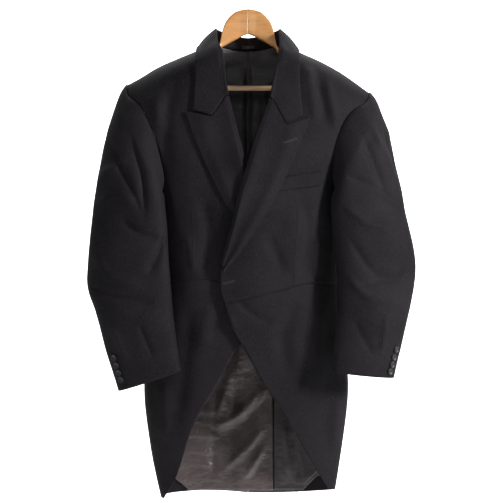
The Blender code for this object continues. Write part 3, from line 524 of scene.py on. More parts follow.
def shell(name, outer, inner, kinds, uv_shift=(0.0, 0.0)):
    """Closed thin cloth with rolled rims and a weave map; kinds are its outer and inner materials."""
    rows, cols = outer.shape[:2]
    bm = bmesh.new()
    layers = []
    for g in (outer, inner):
        layers.append([[bm.verts.new(Vector(p * MM)) for p in row] for row in g])
    a, b = layers
    across = np.linalg.norm(np.diff(outer, axis=1), axis=2)
    u = np.concatenate([np.zeros((rows, 1)), np.cumsum(across, axis=1)], axis=1)
    u -= u[:, cols // 2:cols // 2 + 1]
    down = np.linalg.norm(np.diff(outer, axis=0), axis=2).mean(axis=1)
    v = -np.r_[0.0, np.cumsum(down)][:, None] + 0 * u
    uv = {}
    for i in range(rows):
        for j in range(cols):
            uv[a[i][j]] = uv[b[i][j]] = (u[i, j] + uv_shift[0], v[i, j] + uv_shift[1])
    inside = []
    for i in range(rows - 1):
        for j in range(cols - 1):
            bm.faces.new((a[i][j], a[i][j + 1], a[i + 1][j + 1], a[i + 1][j]))
            inside.append(bm.faces.new((b[i][j], b[i + 1][j], b[i + 1][j + 1], b[i][j + 1])))
    ring = border(rows, cols)
    mids = []
    for (i, j), (k, m) in ring:
        out = unit(outer[i, j] - outer[k, m])
        mid = bm.verts.new(Vector(((outer[i, j] + inner[i, j]) / 2 + out * RIM) * MM))
        uv[mid] = uv[a[i][j]]
        mids.append(mid)
    for k in range(len(ring)):
        (i, j), (m, n) = ring[k][0], ring[(k + 1) % len(ring)][0]
        one, two = mids[k], mids[(k + 1) % len(ring)]
        bm.faces.new((a[i][j], one, two, a[m][n]))
        bm.faces.new((b[i][j], b[m][n], two, one))
    for face in inside:
        face.material_index = 1
    bm.verts.ensure_lookup_table()
    bmesh.ops.recalc_face_normals(bm, faces=bm.faces)
    if bm.calc_volume(signed=True) < 0:
        bmesh.ops.reverse_faces(bm, faces=bm.faces)
    layer = bm.loops.layers.uv.new("weave")
    for face in bm.faces:
        face.smooth = True
        for loop in face.loops:
            loop[layer].uv = uv[loop.vert]
    return settle(name, bm, kinds)


def settle(name, bm, kinds):
    mesh = bpy.data.meshes.new(name)
    bm.to_mesh(mesh)
    bm.free()
    thing = bpy.data.objects.new(name, mesh)
    bpy.context.scene.collection.objects.link(thing)
    for kind in kinds:
        mesh.materials.append(MATERIAL[kind])
    return thing


def cloth(name, node, outer, inner, kinds, uv_shift=(0.0, 0.0)):
    """A sheet that stands for one node, whose part it hides."""
    piece = shell(name, outer, inner, kinds, uv_shift)
    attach(piece, "root")
    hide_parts(node)
    return piece


def panel(name, chart, side, sides=(1, 1, 1, 1), thick=CLOTH, inner_kind="inside"):
    """One body panel with its folds; returns its outer points."""
    pts, nrm = on_body(chart, side)
    if name.startswith("forepart"):
        pts[0, :, 1] = CENTRE_Y
    if name.startswith("back"):
        pts[0, fine(COLS["neck"]) - 1:, 1] = CENTRE_Y
    swell = folds_of_body(pts, chart[..., 0])
    pts = pts + nrm * swell[..., None]
    outer = pull_in(pts, EDGE_IN, sides)
    inner = pull_in(pts - nrm * thick, EDGE_IN, sides)
    return pts, cloth(name + "_cloth", name, outer, inner, ("wool", inner_kind))


def body_tree(outer_grids):
    """Search tree of the panels' outer faces."""
    verts, faces = [], []
    for g in outer_grids:
        rows, cols = g.shape[:2]
        base = len(verts)
        verts += [Vector(p) for p in g.reshape(-1, 3)]
        for i in range(rows - 1):
            for j in range(cols - 1):
                a = base + i * cols + j
                faces.append((a, a + 1, a + cols + 1, a + cols))
    return BVHTree.FromPolygons(verts, faces)


def stand_off(tree, p, clear):
    """Move a point out until it clears the panels by the given distance."""
    hit, n, _, _ = tree.find_nearest(Vector(p), 40.0)
    if hit is None:
        return p
    n, hit = np.array(n), np.array(hit)
    axis = np.array([p[0] * 0.6, CENTRE_Y, min(p[2], -230.0)])
    if n @ (hit - axis) < 0:
        n = -n
    high = (p - hit) @ n
    return p + n * (clear - high) if high < clear else p


def fold_section(start, apex, edge, out, count):
    """Outer path of a folded strip: from its seam, round the fold, to its free edge."""
    down, fall = unit(start - apex), unit(edge - apex)
    up = unit(-(down + fall))
    side = unit(out - (out @ up) * up)
    r = FOLD_RADIUS
    start = start - down * 1.5
    turn_in = apex - up * r - side * r * 0.9
    turn_out = apex - up * r + side * r * 0.9
    path = [start * (1 - t) + turn_in * t for t in (0.0, 0.25, 0.5, 0.75)]
    for degree in (170, 145, 120, 95, 70, 45, 20):
        a = math.radians(degree)
        path.append(apex - up * r + side * r * 0.9 * math.cos(a) + up * r * math.sin(a))
    for u in np.linspace(0, 1, count + 1):
        path.append(turn_out * (1 - u) + edge * u + side * 2.4 * math.sin(math.pi * u) ** 0.8)
    return np.array(path)


FALL_START = 11


def collar_half(table, seams, side, count=14, per_row=8):
    rows = []
    for front, xn, zn, xf, yf, zf, xe, ze in table[1:]:
        seam, n = place(xn, zn, bool(front), side, -CLOTH)
        edge, _ = place(xe, ze, bool(front), side, LAPEL_RISE)
        rows.append(np.r_[seam, n, xf, yf, zf, edge])
    rows = np.array(rows)
    at = np.arange(len(rows))
    dense = np.linspace(0, len(rows) - 1, (len(rows) - 1) * per_row + 1)
    rows = np.stack([smooth_lookup(at, rows[:, k], dense) for k in range(12)], axis=1)
    grid = np.stack([fold_section(r[:3], r[6:9], r[9:12], r[3:6], count) for r in rows])
    end = bent(seams["collar_end"], count + 1)
    end = place(end[:, 0], end[:, 1], True, side, LAPEL_RISE)[0]
    shift = end - grid[0, FALL_START:]
    shift[0] = 0
    for k in range(per_row * 2):
        grid[k, FALL_START:] += shift * (1 - k / (per_row * 2)) ** 1.5
    return grid, rows[:, 3:6]


def build_collar(tree):
    left, out_left = collar_half(COLLAR_LEFT, LEFT, 1)
    right, out_right = collar_half(COLLAR_RIGHT, RIGHT, -1)
    grid = np.vstack([left, right[::-1][1:]])
    out = unit(np.vstack([out_left, out_right[::-1][1:]]))
    for i in range(grid.shape[0]):
        for j in range(FALL_START + 1, grid.shape[1]):
            clear = LAPEL_RISE + (2.6 if grid[i, j, 2] > -205 else 0.0)
            grid[i, j] = stand_off(tree, grid[i, j], clear)
    n = grid_normals(grid)
    mid = grid.shape[0] // 2
    n = -n if n[mid, -2, 1] < 0 else n
    n[:, 0] = -out
    u = np.linspace(0, 1, grid.shape[1] - FALL_START)
    wave = ripple(np.arange(grid.shape[0])[:, None] * 4.0, u[None, :] * 40, 60.0, 1.0)
    grid[:, FALL_START:] += n[:, FALL_START:] * (0.5 * wave * np.sin(math.pi * u))[..., None]
    outer = pull_in(grid, 0.9, (1, 1, 0, 1))
    inner = pull_in(grid - n * 2.1, 0.9, (1, 1, 0, 1))
    cloth("collar_cloth", "collar", outer, inner, ("wool", "wool"), uv_shift=(3.0, 0.0))


def lapel_grid(seams, side, rows=73, cols=30):
    """Turned back lapel: round the roll from the forepart's edge, then across to its own edge."""
    left = chart_line({"r": ROLL[side]}, "r", rows, True, side)
    right = chart_line(seams, "lapel_edge", rows, True, side)
    corner = bent(seams["gorge"], cols)
    top = np.stack([turn(corner[:, 0], corner[:, 1], True, side), corner[:, 1]], axis=1)
    step = np.linspace(0, 1, cols)[:, None]
    top[0] = left[0]
    chart = coons(top, (1 - step) * left[-1] + step * right[-1], left, right)
    pts, nrm = on_body(chart, side)
    u = np.linspace(0, 1, cols)[None, :]
    v = np.linspace(0, 1, rows)[:, None]
    folds = folds_of_body(pts, chart[..., 0]) * smoothstep(0.0, 0.35, u) * 0.8
    roll = (1.2 + 2.2 * np.sin(math.pi * v) ** 2) * np.exp(-(u - 0.06) ** 2 / 0.03)
    belly = 2.9 * np.exp(-((u - 0.70) / 0.19) ** 2)
    lift = LAPEL_RISE - 0.8 * u + roll * (u > 0) + belly + 0.5 * ripple(pts[..., 0], pts[..., 2], 45.0, 3.0) * u
    across = pts + nrm * (lift + folds)[..., None]
    along = unit(np.gradient(pts[:, 0], axis=0))
    inward = np.cross(along, nrm[:, 0])
    inward *= np.sign((inward * (pts[:, 0] - pts[:, 1])).sum(axis=1, keepdims=True))
    arc = []
    half = (lift[:, :1] + CLOTH) / 2
    for degree in (-90, -65, -40, -15, 10, 35, 60, 80):
        a = math.radians(degree)
        arc.append(pts[:, 0] + inward * (1.8 + half * math.cos(a)) + nrm[:, 0] * (half - CLOTH + half * math.sin(a)))
    return np.concatenate([np.stack(arc, axis=1), across], axis=1), nrm[:, 0]


def build_lapel(seams, side, word):
    g, out = lapel_grid(seams, side)
    n = grid_normals(g)
    n = -n if n[20, 20, 1] > 0 else n
    n[:, 0] = -out
    outer = pull_in(g, 0.9, (1, 1, 0, 1))
    inner = pull_in(g - n * CLOTH, 0.9, (1, 1, 0, 1))
    cloth("lapel_%s_cloth" % word, "lapel_" + word, outer, inner, ("wool", "wool"),
          uv_shift=(1.0, 0.0))
    return g, n


def sleeve_rings(parts, side, table, per_row=17):
    """Rings of the sleeve from the armhole's own samples down to the cuff."""
    loop = parts["loop"]
    ring0 = surface(loop[:, 0], loop[:, 1], side)
    ring0[0, 1] = CENTRE_Y
    out = normal(loop[:, 0], loop[:, 1], side)
    inward = unit(ring0.mean(axis=0) - ring0)
    rings = [ring0 + inward * (EDGE_IN + t * 1.2) + out * 4.5 * t ** 0.7 for t in (0.0, 0.3, 0.65, 1.0)]
    n_front = fine(ROWS["arm"])
    rest = np.linspace(math.pi * 0.97, 2 * math.pi, len(loop) - n_front + 2)[1:-1]
    theta = np.r_[np.linspace(0, math.pi * 0.97, n_front), rest]
    at = np.arange(len(table) - 1)
    dense = np.linspace(0, len(at) - 1, (len(at) - 1) * per_row + 1)
    get = {name: smooth_lookup(at, column(table, name), dense) for name in table[0]}
    first = None
    for k in range(len(dense)):
        inner = np.array([get["xi"][k], get["yi"][k], get["zi"][k]])
        outer = np.array([get["xo"][k], get["yo"][k], get["zo"][k]])
        middle, arm = (inner + outer) / 2, (outer - inner) / 2
        ring = middle + np.cos(theta)[:, None] * arm
        ring[:, 1] -= get["deep"][k] * np.sin(theta)
        if first is None:
            first = ring
        rings.append(ring)
    bridge = [rings[3] * (1 - t) + first * t + out * 3.0 * math.sin(math.pi * t) for t in (0.2, 0.4, 0.6, 0.8)]
    return np.stack(rings[:4] + bridge + rings[4:])


SLEEVE_BACK_CREASES = (
    (-4.5, 14, (230, -330), (262, -420), (300, -480)),
    (3.6, 12, (260, -330), (296, -410)),
    (-4.0, 14, (210, -480), (262, -540), (322, -560)),
    (3.2, 13, (210, -560), (270, -600), (330, -610)),
    (-3.2, 13, (205, -640), (262, -672), (330, -690)),
    (2.6, 12, (210, -720), (280, -752)),
)


def build_sleeve(parts, side, table, word, tree):
    g = sleeve_rings(parts, side, table)
    n = grid_normals(g, closed=True)
    away = g - g.mean(axis=1)[:, None]
    n = n if (n * away).sum() > 0 else -n
    x, z = g[..., 0], g[..., 2]
    rows = np.arange(g.shape[0])[:, None]
    calm = smoothstep(1, 20, rows) * smoothstep(g.shape[0] - 1, g.shape[0] - 12, rows)
    facing = smoothstep(0.25, -0.25, n[..., 1])
    front = crease(x, z, SLEEVE_CREASES[side], 2.3 if side < 0 else 1.8, 0.6, True) + 0.9 * ripple(x, z, 44.0, 1.3 * side)
    back = crease(side * x, z, SLEEVE_BACK_CREASES, 1.5, 0.7, True) + 1.0 * ripple(x, z, 40.0, 2.6 * side)
    g = g + n * (calm * (front * facing + back * (1 - facing)))[..., None]
    for i in range(4, g.shape[0]):
        for j in range(g.shape[1]):
            if abs(g[i, j, 0]) < 232:
                reach = 1.2 + 2.0 * min(1.0, (i - 4) / 9)
                g[i, j] = stand_off(tree, g[i, j], reach)
    soft = g.copy()
    soft[4:-1] = (g[3:-2] + 2 * g[4:-1] + g[5:]) / 4
    n = grid_normals(soft, closed=True)
    n = n if (n * away).sum() > 0 else -n
    inner = soft - n * CLOTH
    inner[0] = soft[0] - (n[0] * 0.4 + n[2] * 0.6) * CLOTH
    total = g.shape[1]
    first, last = total - 2 * FINE, fine(ROWS["arm"]) - 1
    spans = (("top_sleeve_", first, last), ("under_sleeve_", last, first))
    for name, a, b in spans:
        cols = [(a + k) % total for k in range((b - a) % total + 1)]
        outer_side, inner_side = soft[:, cols], inner[:, cols]
        cloth(name + word + "_cloth", name + word, pull_in(outer_side, 0.7, (0, 0, 1, 1)),
              pull_in(inner_side, 0.7, (0, 0, 1, 1)), ("wool", "sleeve_lining"),
              uv_shift=(2.0, 0.0))
    return soft, n


def patch(name, node, corners, lift, thick, rows=10, cols=40):
    """A small piece laid on the front from its four corners."""
    a, b, c, d = [np.array(p, float) for p in corners]
    v = np.linspace(0, 1, rows)[:, None, None]
    u = np.linspace(0, 1, cols)[None, :, None]
    at = (1 - v) * ((1 - u) * a + u * b) + v * ((1 - u) * d + u * c)
    q = turn(at[..., 0], at[..., 1])
    pts, nrm = surface(q, at[..., 1], 1), normal(q, at[..., 1], 1)
    pts = pts + nrm * (folds_of_body(pts, q) + lift + thick)[..., None]
    return cloth(name, node, pts, pts - nrm * thick, ("wool", "wool"))


def tail_lining(side, word):
    rows, cols = 90, 110
    cut = spline((LEFT if side > 0 else RIGHT)["cutaway"], 80)
    z = np.linspace(-712.0, -1109.0, rows)
    zf = np.maximum(z, cut[-1, 1] + 12.0)
    x_front = np.interp(-zf, -cut[:, 1], cut[:, 0]) + side * 24.0
    q0 = turn(x_front, z, True)
    x_back = (14.0 if side > 0 else 54.0) + 0 * z
    q1 = turn(x_back, z, False, side)
    u = np.linspace(0, 1, cols)[None, :]
    q = q0[:, None] * (1 - u) + q1[:, None] * u
    out = np.abs(surface(q[-1], 0 * q[-1] - 1100.0, side)[:, 0])
    reach = out + (10.0 if side > 0 else 0.0)
    low = np.interp(reach, (0, 130, 157, 185, 205), (-1112.5, -1111.0, -1080.0, -1068.0, -1058.0))
    low = np.where(np.sin(q[-1]) < 0, low, cut[-1, 1] + 30.0)
    zz = -712.0 + (z[:, None] + 712.0) * (low[None, :] + 712.0) / (z[-1] + 712.0)
    pts, nrm = surface(q, zz, side), normal(q, zz, side)
    x = pts[..., 0]
    depth = 4.0 + 0 * x
    if side < 0:
        depth += 5.4 * smoothstep(-40.0, -16.0, x) * (np.sin(q) < 0)
    edge = np.minimum(smoothstep(0, 6, np.arange(rows)[:, None]), smoothstep(0, 6, np.arange(rows)[::-1, None]))
    edge = edge * smoothstep(0, 0.06, u) * smoothstep(1.0, 0.94, u)
    back = np.sin(q) < 0
    folds = crease(x, zz, LINING_CREASES, 1.9, 1.0, True) + 0.8 * ripple(x, zz, 30.0, 0.7)
    if side > 0:
        folds = folds * smoothstep(56.0, 84.0, x)
    depth += np.maximum(folds + 1.6, -0.8) * edge * np.where(back, 1.0, 0.4)
    body = folds_of_body(pts, q)
    pts = pts + nrm * (body - depth)[..., None]
    # The wearer's-left tail lining takes a half-bright copy of the satin: painted shade.
    cloth("tail_lining_%s_cloth" % word, "tail_lining_" + word, pts, pts - nrm * LINING,
          ("satin" if side < 0 else "satin_painted_shade",) * 2)


def vent_underlap():
    z = np.linspace(-712.0, -1110.0, 60)[:, None]
    x = np.linspace(-14.0, 57.0, 26)[None, :] + 0 * z
    z = z + 0 * x
    q = turn(x, z, False, 1)
    pts, nrm = surface(q, z, 1), normal(q, z, 1)
    body = folds_of_body(pts, q)
    pts = pts + nrm * (body - 2.6 - 2.9 * smoothstep(-6.0, 12.0, x))[..., None]
    cloth("vent_underlap_cloth", "vent_underlap", pts, pts - nrm * CLOTH, ("wool", "wool"))


def neck_lining(side, word):
    z = np.linspace(-158.0, -470.0, 70)[:, None]
    wide = 74.0 + 26.0 * smoothstep(-158, -300, z)
    x = side * (0.1 + (wide - 0.1) * np.linspace(0, 1, 40)[None, :])
    z = z + 0 * x
    q = turn(x, z, False, side)
    pts, nrm = surface(q, z, side), normal(q, z, side)
    folds = crease(x, z, NECK_CREASES) + 0.6 * ripple(x, z, 22.0, 2.2)
    body = folds_of_body(pts, q)
    pts = pts + nrm * (body - 4.4 - np.maximum(folds + 1.0, -0.4))[..., None]
    cloth("neck_lining_%s_cloth" % word, "neck_lining_" + word, pts, pts - nrm * LINING,
          ("neck_satin", "neck_satin"))


# Hanger arm: x, top, bottom, place in y.
ARM = (
    ("x", "top", "bottom", "y"),
    (0.02, -75, -129, 0), (14, -77, -134, 0), (26, -81, -141, -1), (40, -93, -149, -3), (51, -110, -156, -5),
    (56, -128, -159, -6), (60, -150, -163, -7), (68, -163, -181, -8), (90, -170.3, -190, -8),
    (109, -178.1, -198, -8), (150, -196.1, -215, -9), (193, -218.0, -236, -11), (203, -227, -242, -11),
    (207, -230, -253, -11), (220, -241, -253, -11),
)


def sweep(name, rings, kind, node):
    """Smooth solid through closed rings, capped at both ends."""
    bm = bmesh.new()
    verts = [[bm.verts.new(Vector(p * MM)) for p in ring] for ring in rings]
    count = len(verts[0])
    for a, b in zip(verts, verts[1:]):
        for k in range(count):
            bm.faces.new((a[k], a[(k + 1) % count], b[(k + 1) % count], b[k]))
    bm.faces.new(verts[0][::-1])
    bm.faces.new(verts[-1])
    bmesh.ops.recalc_face_normals(bm, faces=bm.faces)
    for face in bm.faces:
        face.smooth = len(face.verts) == 4
    piece = settle(name, bm, (kind,))
    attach(piece, "root")
    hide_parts(*([node] if isinstance(node, str) else node))
    return piece


def hanger_arm(side, word):
    """One wooden half: rounded sections along its length, with a softened end."""
    xs = column(ARM, "x")
    dense = np.unique(np.r_[np.linspace(xs[0], 60, 40), np.linspace(60, 203, 60), np.linspace(203, xs[-1], 12)])
    top, bottom, y = (smooth_lookup(xs, column(ARM, name), dense) for name in ("top", "bottom", "y"))
    rings = []
    for x, t, b, yc in zip(dense, top, bottom, y):
        a = 2 * math.pi * (np.arange(32) + 0.5) / 32
        c, s = np.cos(a), np.sin(a)
        near_end = min(1.0, 0.55 + 0.45 * math.sqrt(max(0.0, (xs[-1] - x) / 4.0)))
        near_start = min(1.0, 0.97 + 0.03 * (x - xs[0]) / 0.6)
        k = near_end * near_start
        rings.append(np.stack([side * x + 0 * a, yc + 6.8 * k * np.sign(c) * np.abs(c) ** 0.55,
                               (t + b) / 2 + (t - b) / 2 * k * np.sign(s) * np.abs(s) ** 0.55], axis=1))
    # The wood tint chosen by side carries painted light on the wearer's-left arm and painted shade on the other.
    sweep("hanger_arm_%s_wood" % word, rings, "wood_" + word, "hanger_arm_" + word)


def wire_rings(path, radius, steps=24):
    path = np.array(path, float)
    guide = np.array([0.0, 1.0, 0.0])
    rings = []
    for i, p in enumerate(path):
        d = unit(path[min(i + 1, len(path) - 1)] - path[max(i - 1, 0)])
        a = guide - (guide @ d) * d
        a = unit(a) if np.linalg.norm(a) > 0.1 else np.array([1.0, 0, 0])
        b = np.cross(d, a)
        t = np.linspace(0, 2 * math.pi, steps, endpoint=False)[:, None]
        r = radius if np.isscalar(radius) else radius[i]
        rings.append(p + r * (a * np.cos(t) + b * np.sin(t)))
    return rings


def build_hanger():
    hanger_arm(1, "left")
    hanger_arm(-1, "right")
    bar = [(x, -11, -247) for x in np.linspace(-200.6, 200.6, 60)]
    radii = np.full(60, 5.5)
    radii[[0, -1]] = 4.8
    # The bar's wood tint is raised as painted light against the shade it hangs in.
    sweep("trouser_bar_wood", wire_rings(bar, radii), "wood_bar", "trouser_bar")
    r, c = 19.7, -18.0
    path = [(0, 0, z) for z in np.linspace(-74.6, -52, 10)]
    path += [(-1.1 * t * t * (3 - 2 * t), 0, -52 + 8.5 * t) for t in np.linspace(0.1, 1, 8)]
    for degree in np.linspace(-110, -330, 70):
        a = math.radians(degree)
        path.append((r * math.cos(a), 0, c + r * math.sin(a)))
    radii = np.full(len(path), 1.7)
    radii[-2:] = (1.5, 1.0)
    sweep("hanger_hook_wire", wire_rings(path, radii), "steel", "hanger_hook")


def hanger_loop():
    rings = []
    for a in np.linspace(0, 1, 41):
        x = -13 + 26 * a
        y = 28.1 - 4.0 * math.sin(math.pi * a)
        z = -151 - 1.5 * math.sin(math.pi * a)
        ring = []
        for t in np.linspace(0, 2 * math.pi, 16, endpoint=False):
            c, s = math.cos(t), math.sin(t)
            ring.append((x, y + 0.8 * math.copysign(abs(c) ** 0.5, c), z + 3.5 * math.copysign(abs(s) ** 0.7, s)))
        rings.append(np.array(ring))
    piece = sweep("hanger_loop_cloth", rings, "neck_satin", "hanger_loop")


BUTTON = ((0.0, 0.0), (5.6, 0.0), (7.0, 0.5), (7.5, 1.4), (7.5, 2.0), (7.1, 2.7), (6.5, 2.95), (5.9, 2.8),
          (5.3, 2.3), (4.4, 2.05))


def button(name, node, spot, n, scale, angle=0.3):
    """Four-hole button: rolled rim, dished middle with real holes, and crossed thread."""
    n = unit(np.asarray(n, float))
    turn_by = Vector((0, 0, 1)).rotation_difference(Vector(n))
    base = Vector(spot + n * 0.4)
    bm = bmesh.new()
    steps = 48

    def put(x, y, z):
        return bm.verts.new((base + turn_by @ Vector((x * scale, y * scale, z * scale))) * MM)
    rings = []
    for radius, high in BUTTON[1:]:
        rings.append([put(radius * math.cos(2 * math.pi * k / steps), radius * math.sin(2 * math.pi * k / steps), high)
                      for k in range(steps)])
    for a, b in zip(rings, rings[1:]):
        for k in range(steps):
            bm.faces.new((a[k], a[(k + 1) % steps], b[(k + 1) % steps], b[k]))
    centre = put(0, 0, 0.0)
    for k in range(steps):
        bm.faces.new((centre, rings[0][(k + 1) % steps], rings[0][k]))
    holes = []
    for h in range(4):
        a = angle + math.pi / 4 + h * math.pi / 2
        cx, cy = 1.75 * math.cos(a), 1.75 * math.sin(a)
        loop_top = [put(cx + 0.62 * math.cos(t), cy + 0.62 * math.sin(t), 2.0)
                    for t in np.linspace(0, 2 * math.pi, 12, endpoint=False)]
        loop_low = [put(cx + 0.55 * math.cos(t), cy + 0.55 * math.sin(t), 0.7)
                    for t in np.linspace(0, 2 * math.pi, 12, endpoint=False)]
        for k in range(12):
            bm.faces.new((loop_top[k], loop_low[k], loop_low[(k + 1) % 12], loop_top[(k + 1) % 12]))
        bm.faces.new(loop_low)
        holes.append(loop_top)
    edges = []
    for loop in [rings[-1]] + holes:
        for k in range(len(loop)):
            edge = bm.edges.get((loop[k], loop[(k + 1) % len(loop)])) or bm.edges.new(
                (loop[k], loop[(k + 1) % len(loop)]))
            edges.append(edge)
    bmesh.ops.triangle_fill(bm, use_beauty=True, use_dissolve=False, edges=edges)
    bmesh.ops.recalc_face_normals(bm, faces=bm.faces)
    for face in bm.faces:
        face.smooth = True
    thread_from = len(bm.faces)
    for pair in ((0, 2), (1, 3)):
        ends = []
        for h in pair:
            a = angle + math.pi / 4 + h * math.pi / 2
            ends.append(np.array([1.75 * math.cos(a), 1.75 * math.sin(a)]))
        across = unit(np.array([-(ends[1] - ends[0])[1], (ends[1] - ends[0])[0]]))
        ladder = []
        for t in np.linspace(0, 1, 9):
            mid = ends[0] * (1 - t) + ends[1] * t
            high = 1.5 + 1.0 * math.sin(math.pi * t) ** 0.5
            ladder.append([put(*(mid + across * 0.45), high), put(mid[0], mid[1], high + 0.35),
                           put(*(mid - across * 0.45), high), put(mid[0], mid[1], high - 0.3)])
        for a, b in zip(ladder, ladder[1:]):
            for k in range(4):
                bm.faces.new((a[k], a[(k + 1) % 4], b[(k + 1) % 4], b[k]))
        bm.faces.new(ladder[0])
        bm.faces.new(ladder[-1][::-1])
    bm.faces.ensure_lookup_table()
    for face in bm.faces[thread_from:]:
        face.material_index = 1
        face.smooth = True
    piece = settle(name, bm, ("horn", "thread"))
    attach(piece, "root")
    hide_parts(node)


def seat(x, z, tree):
    """Point and outward direction of the cloth seen from the front at x and height z."""
    point, face, _, _ = tree.ray_cast(Vector((x, -400.0, z)), Vector((0, 1, 0)))
    face = np.array(face)
    return np.array(point), face if face[1] < 0 else -face


CUFF_BUTTONS = {
    1: ((301, -794), (296, -810), (292.5, -824), (288, -838)),
    -1: ((-271, -811), (-267, -826), (-262, -841), (-257, -855)),
}


# Near-black lines laid on the cloth as painted shade: the shade in the dart grooves, the cuff slits and the welt
# pocket's mouth.
PAINTED_SHADE_LINES = {
    "dart_left": ((102, -506), (99, -560), (95, -620), (93, -668)),
    "dart_right": ((-114, -512), (-113, -560), (-113, -610), (-114, -651)),
    "cuff_slit_left": ((301, -786), (294, -812), (287, -838), (284, -848)),
    "cuff_slit_right": ((-279, -800), (-272, -824), (-263, -848), (-257, -868)),
    "welt_mouth": ((78.5, -442.5), (115, -436.2), (151, -429.5)),
}


def painted_shade_line(name, points, tree, radius):
    """A near-black line laid on the cloth: painted shade of a dart groove, cuff slit or pocket mouth."""
    path = []
    for x, z in spline(points, 60):
        path.append(laid(x, z, tree, 0.05))
    piece = sweep_free(name, wire_rings(path, radius, 8), "seam")


def sweep_free(name, rings, kind):
    """Smooth solid through closed rings that stands for no node."""
    bm = bmesh.new()
    verts = [[bm.verts.new(Vector(p * MM)) for p in ring] for ring in rings]
    count = len(verts[0])
    for a, b in zip(verts, verts[1:]):
        for k in range(count):
            bm.faces.new((a[k], a[(k + 1) % count], b[(k + 1) % count], b[k]))
    bm.faces.new(verts[0][::-1])
    bm.faces.new(verts[-1])
    bmesh.ops.recalc_face_normals(bm, faces=bm.faces)
    for face in bm.faces:
        face.smooth = True
    piece = settle(name, bm, (kind,))
    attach(piece, "root")
    return piece


def ring_of_thread(name, start, end, wide, tree, side, rests):
    """Worked buttonhole: a slim raised oval of thread lying on the cloth."""
    a, b = np.array(start, float), np.array(end, float)
    mid, along = (a + b) / 2, (b - a) / 2
    across = unit(np.array([-along[1], along[0]])) * wide
    path = []
    for t in np.linspace(0, 2 * math.pi, 72, endpoint=False):
        c, s = math.cos(t), math.sin(t)
        keyhole = 1.0 + 0.8 * max(0.0, c) ** 8
        at = mid + along * c + across * math.copysign(abs(s) ** 0.5, s) * keyhole
        path.append(laid(at[0], at[1], tree, 0.25))
    path = np.array(path)
    bm = bmesh.new()
    n = unit(np.cross(path[18] - path[0], path[36] - path[0]))
    n = n if n[1] < 0 else -n
    rings = []
    for k, p in enumerate(path):
        d = unit(path[(k + 1) % 72] - path[k - 1])
        side_way = np.cross(d, n)
        swell = 0.40 + 0.08 * (k % 2)
        rings.append([bm.verts.new(Vector((p + side_way * swell * math.cos(t) + n * swell * math.sin(t)) * MM))
                      for t in np.linspace(0, 2 * math.pi, 8, endpoint=False)])
    for k in range(72):
        r, s = rings[k], rings[(k + 1) % 72]
        for m in range(8):
            bm.faces.new((r[m], r[(m + 1) % 8], s[(m + 1) % 8], s[m]))
    bmesh.ops.recalc_face_normals(bm, faces=bm.faces)
    for face in bm.faces:
        face.smooth = True
    piece = settle(name, bm, ("thread",))
    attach(piece, "root")
    return piece


def armhole_seam(loop, side, word, half=3.0, deep=2.5, thick=0.5):
    """Turned-in edge of the cloth behind an armhole seam."""
    axis = np.stack([0 * loop[:, 0] + side * 120.0, 0 * loop[:, 1] + CENTRE_Y, loop[:, 2]], axis=1)
    inward = unit(axis - loop)
    along = unit(np.roll(loop, -1, axis=0) - np.roll(loop, 1, axis=0))
    across = unit(np.cross(along, inward))
    bm = bmesh.new()
    rings = []
    for p, d, a in zip(loop, inward, across):
        corners = (p + d * deep - a * half, p + d * deep + a * half,
                   p + d * (deep + thick) + a * half, p + d * (deep + thick) - a * half)
        rings.append([bm.verts.new(Vector(c * MM)) for c in corners])
    for ring, after in zip(rings, rings[1:] + rings[:1]):
        for k in range(4):
            bm.faces.new((ring[k], ring[(k + 1) % 4], after[(k + 1) % 4], after[k]))
    bmesh.ops.recalc_face_normals(bm, faces=bm.faces)
    piece = settle("armhole_seam_" + word, bm, ("wool",))
    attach(piece, "root")


def laid(x, z, tree, lift):
    """Point on the outermost cloth seen from the front at x and height z."""
    hit = tree.ray_cast(Vector((x, -400.0, z)), Vector((0, 1, 0)))
    return np.array(hit[0]) + np.array([0, -lift, 0]) if hit[0] else np.array([x, -90.0, z])


def front_tree(names):
    """Search tree, in millimetres, of the pieces that face the front."""
    verts, faces = [], []
    for name in names:
        mesh = bpy.data.objects[name].data
        base = len(verts)
        verts += [Vector(v.co) / MM for v in mesh.vertices]
        faces += [[base + k for k in p.vertices] for p in mesh.polygons]
    return BVHTree.FromPolygons(verts, faces)


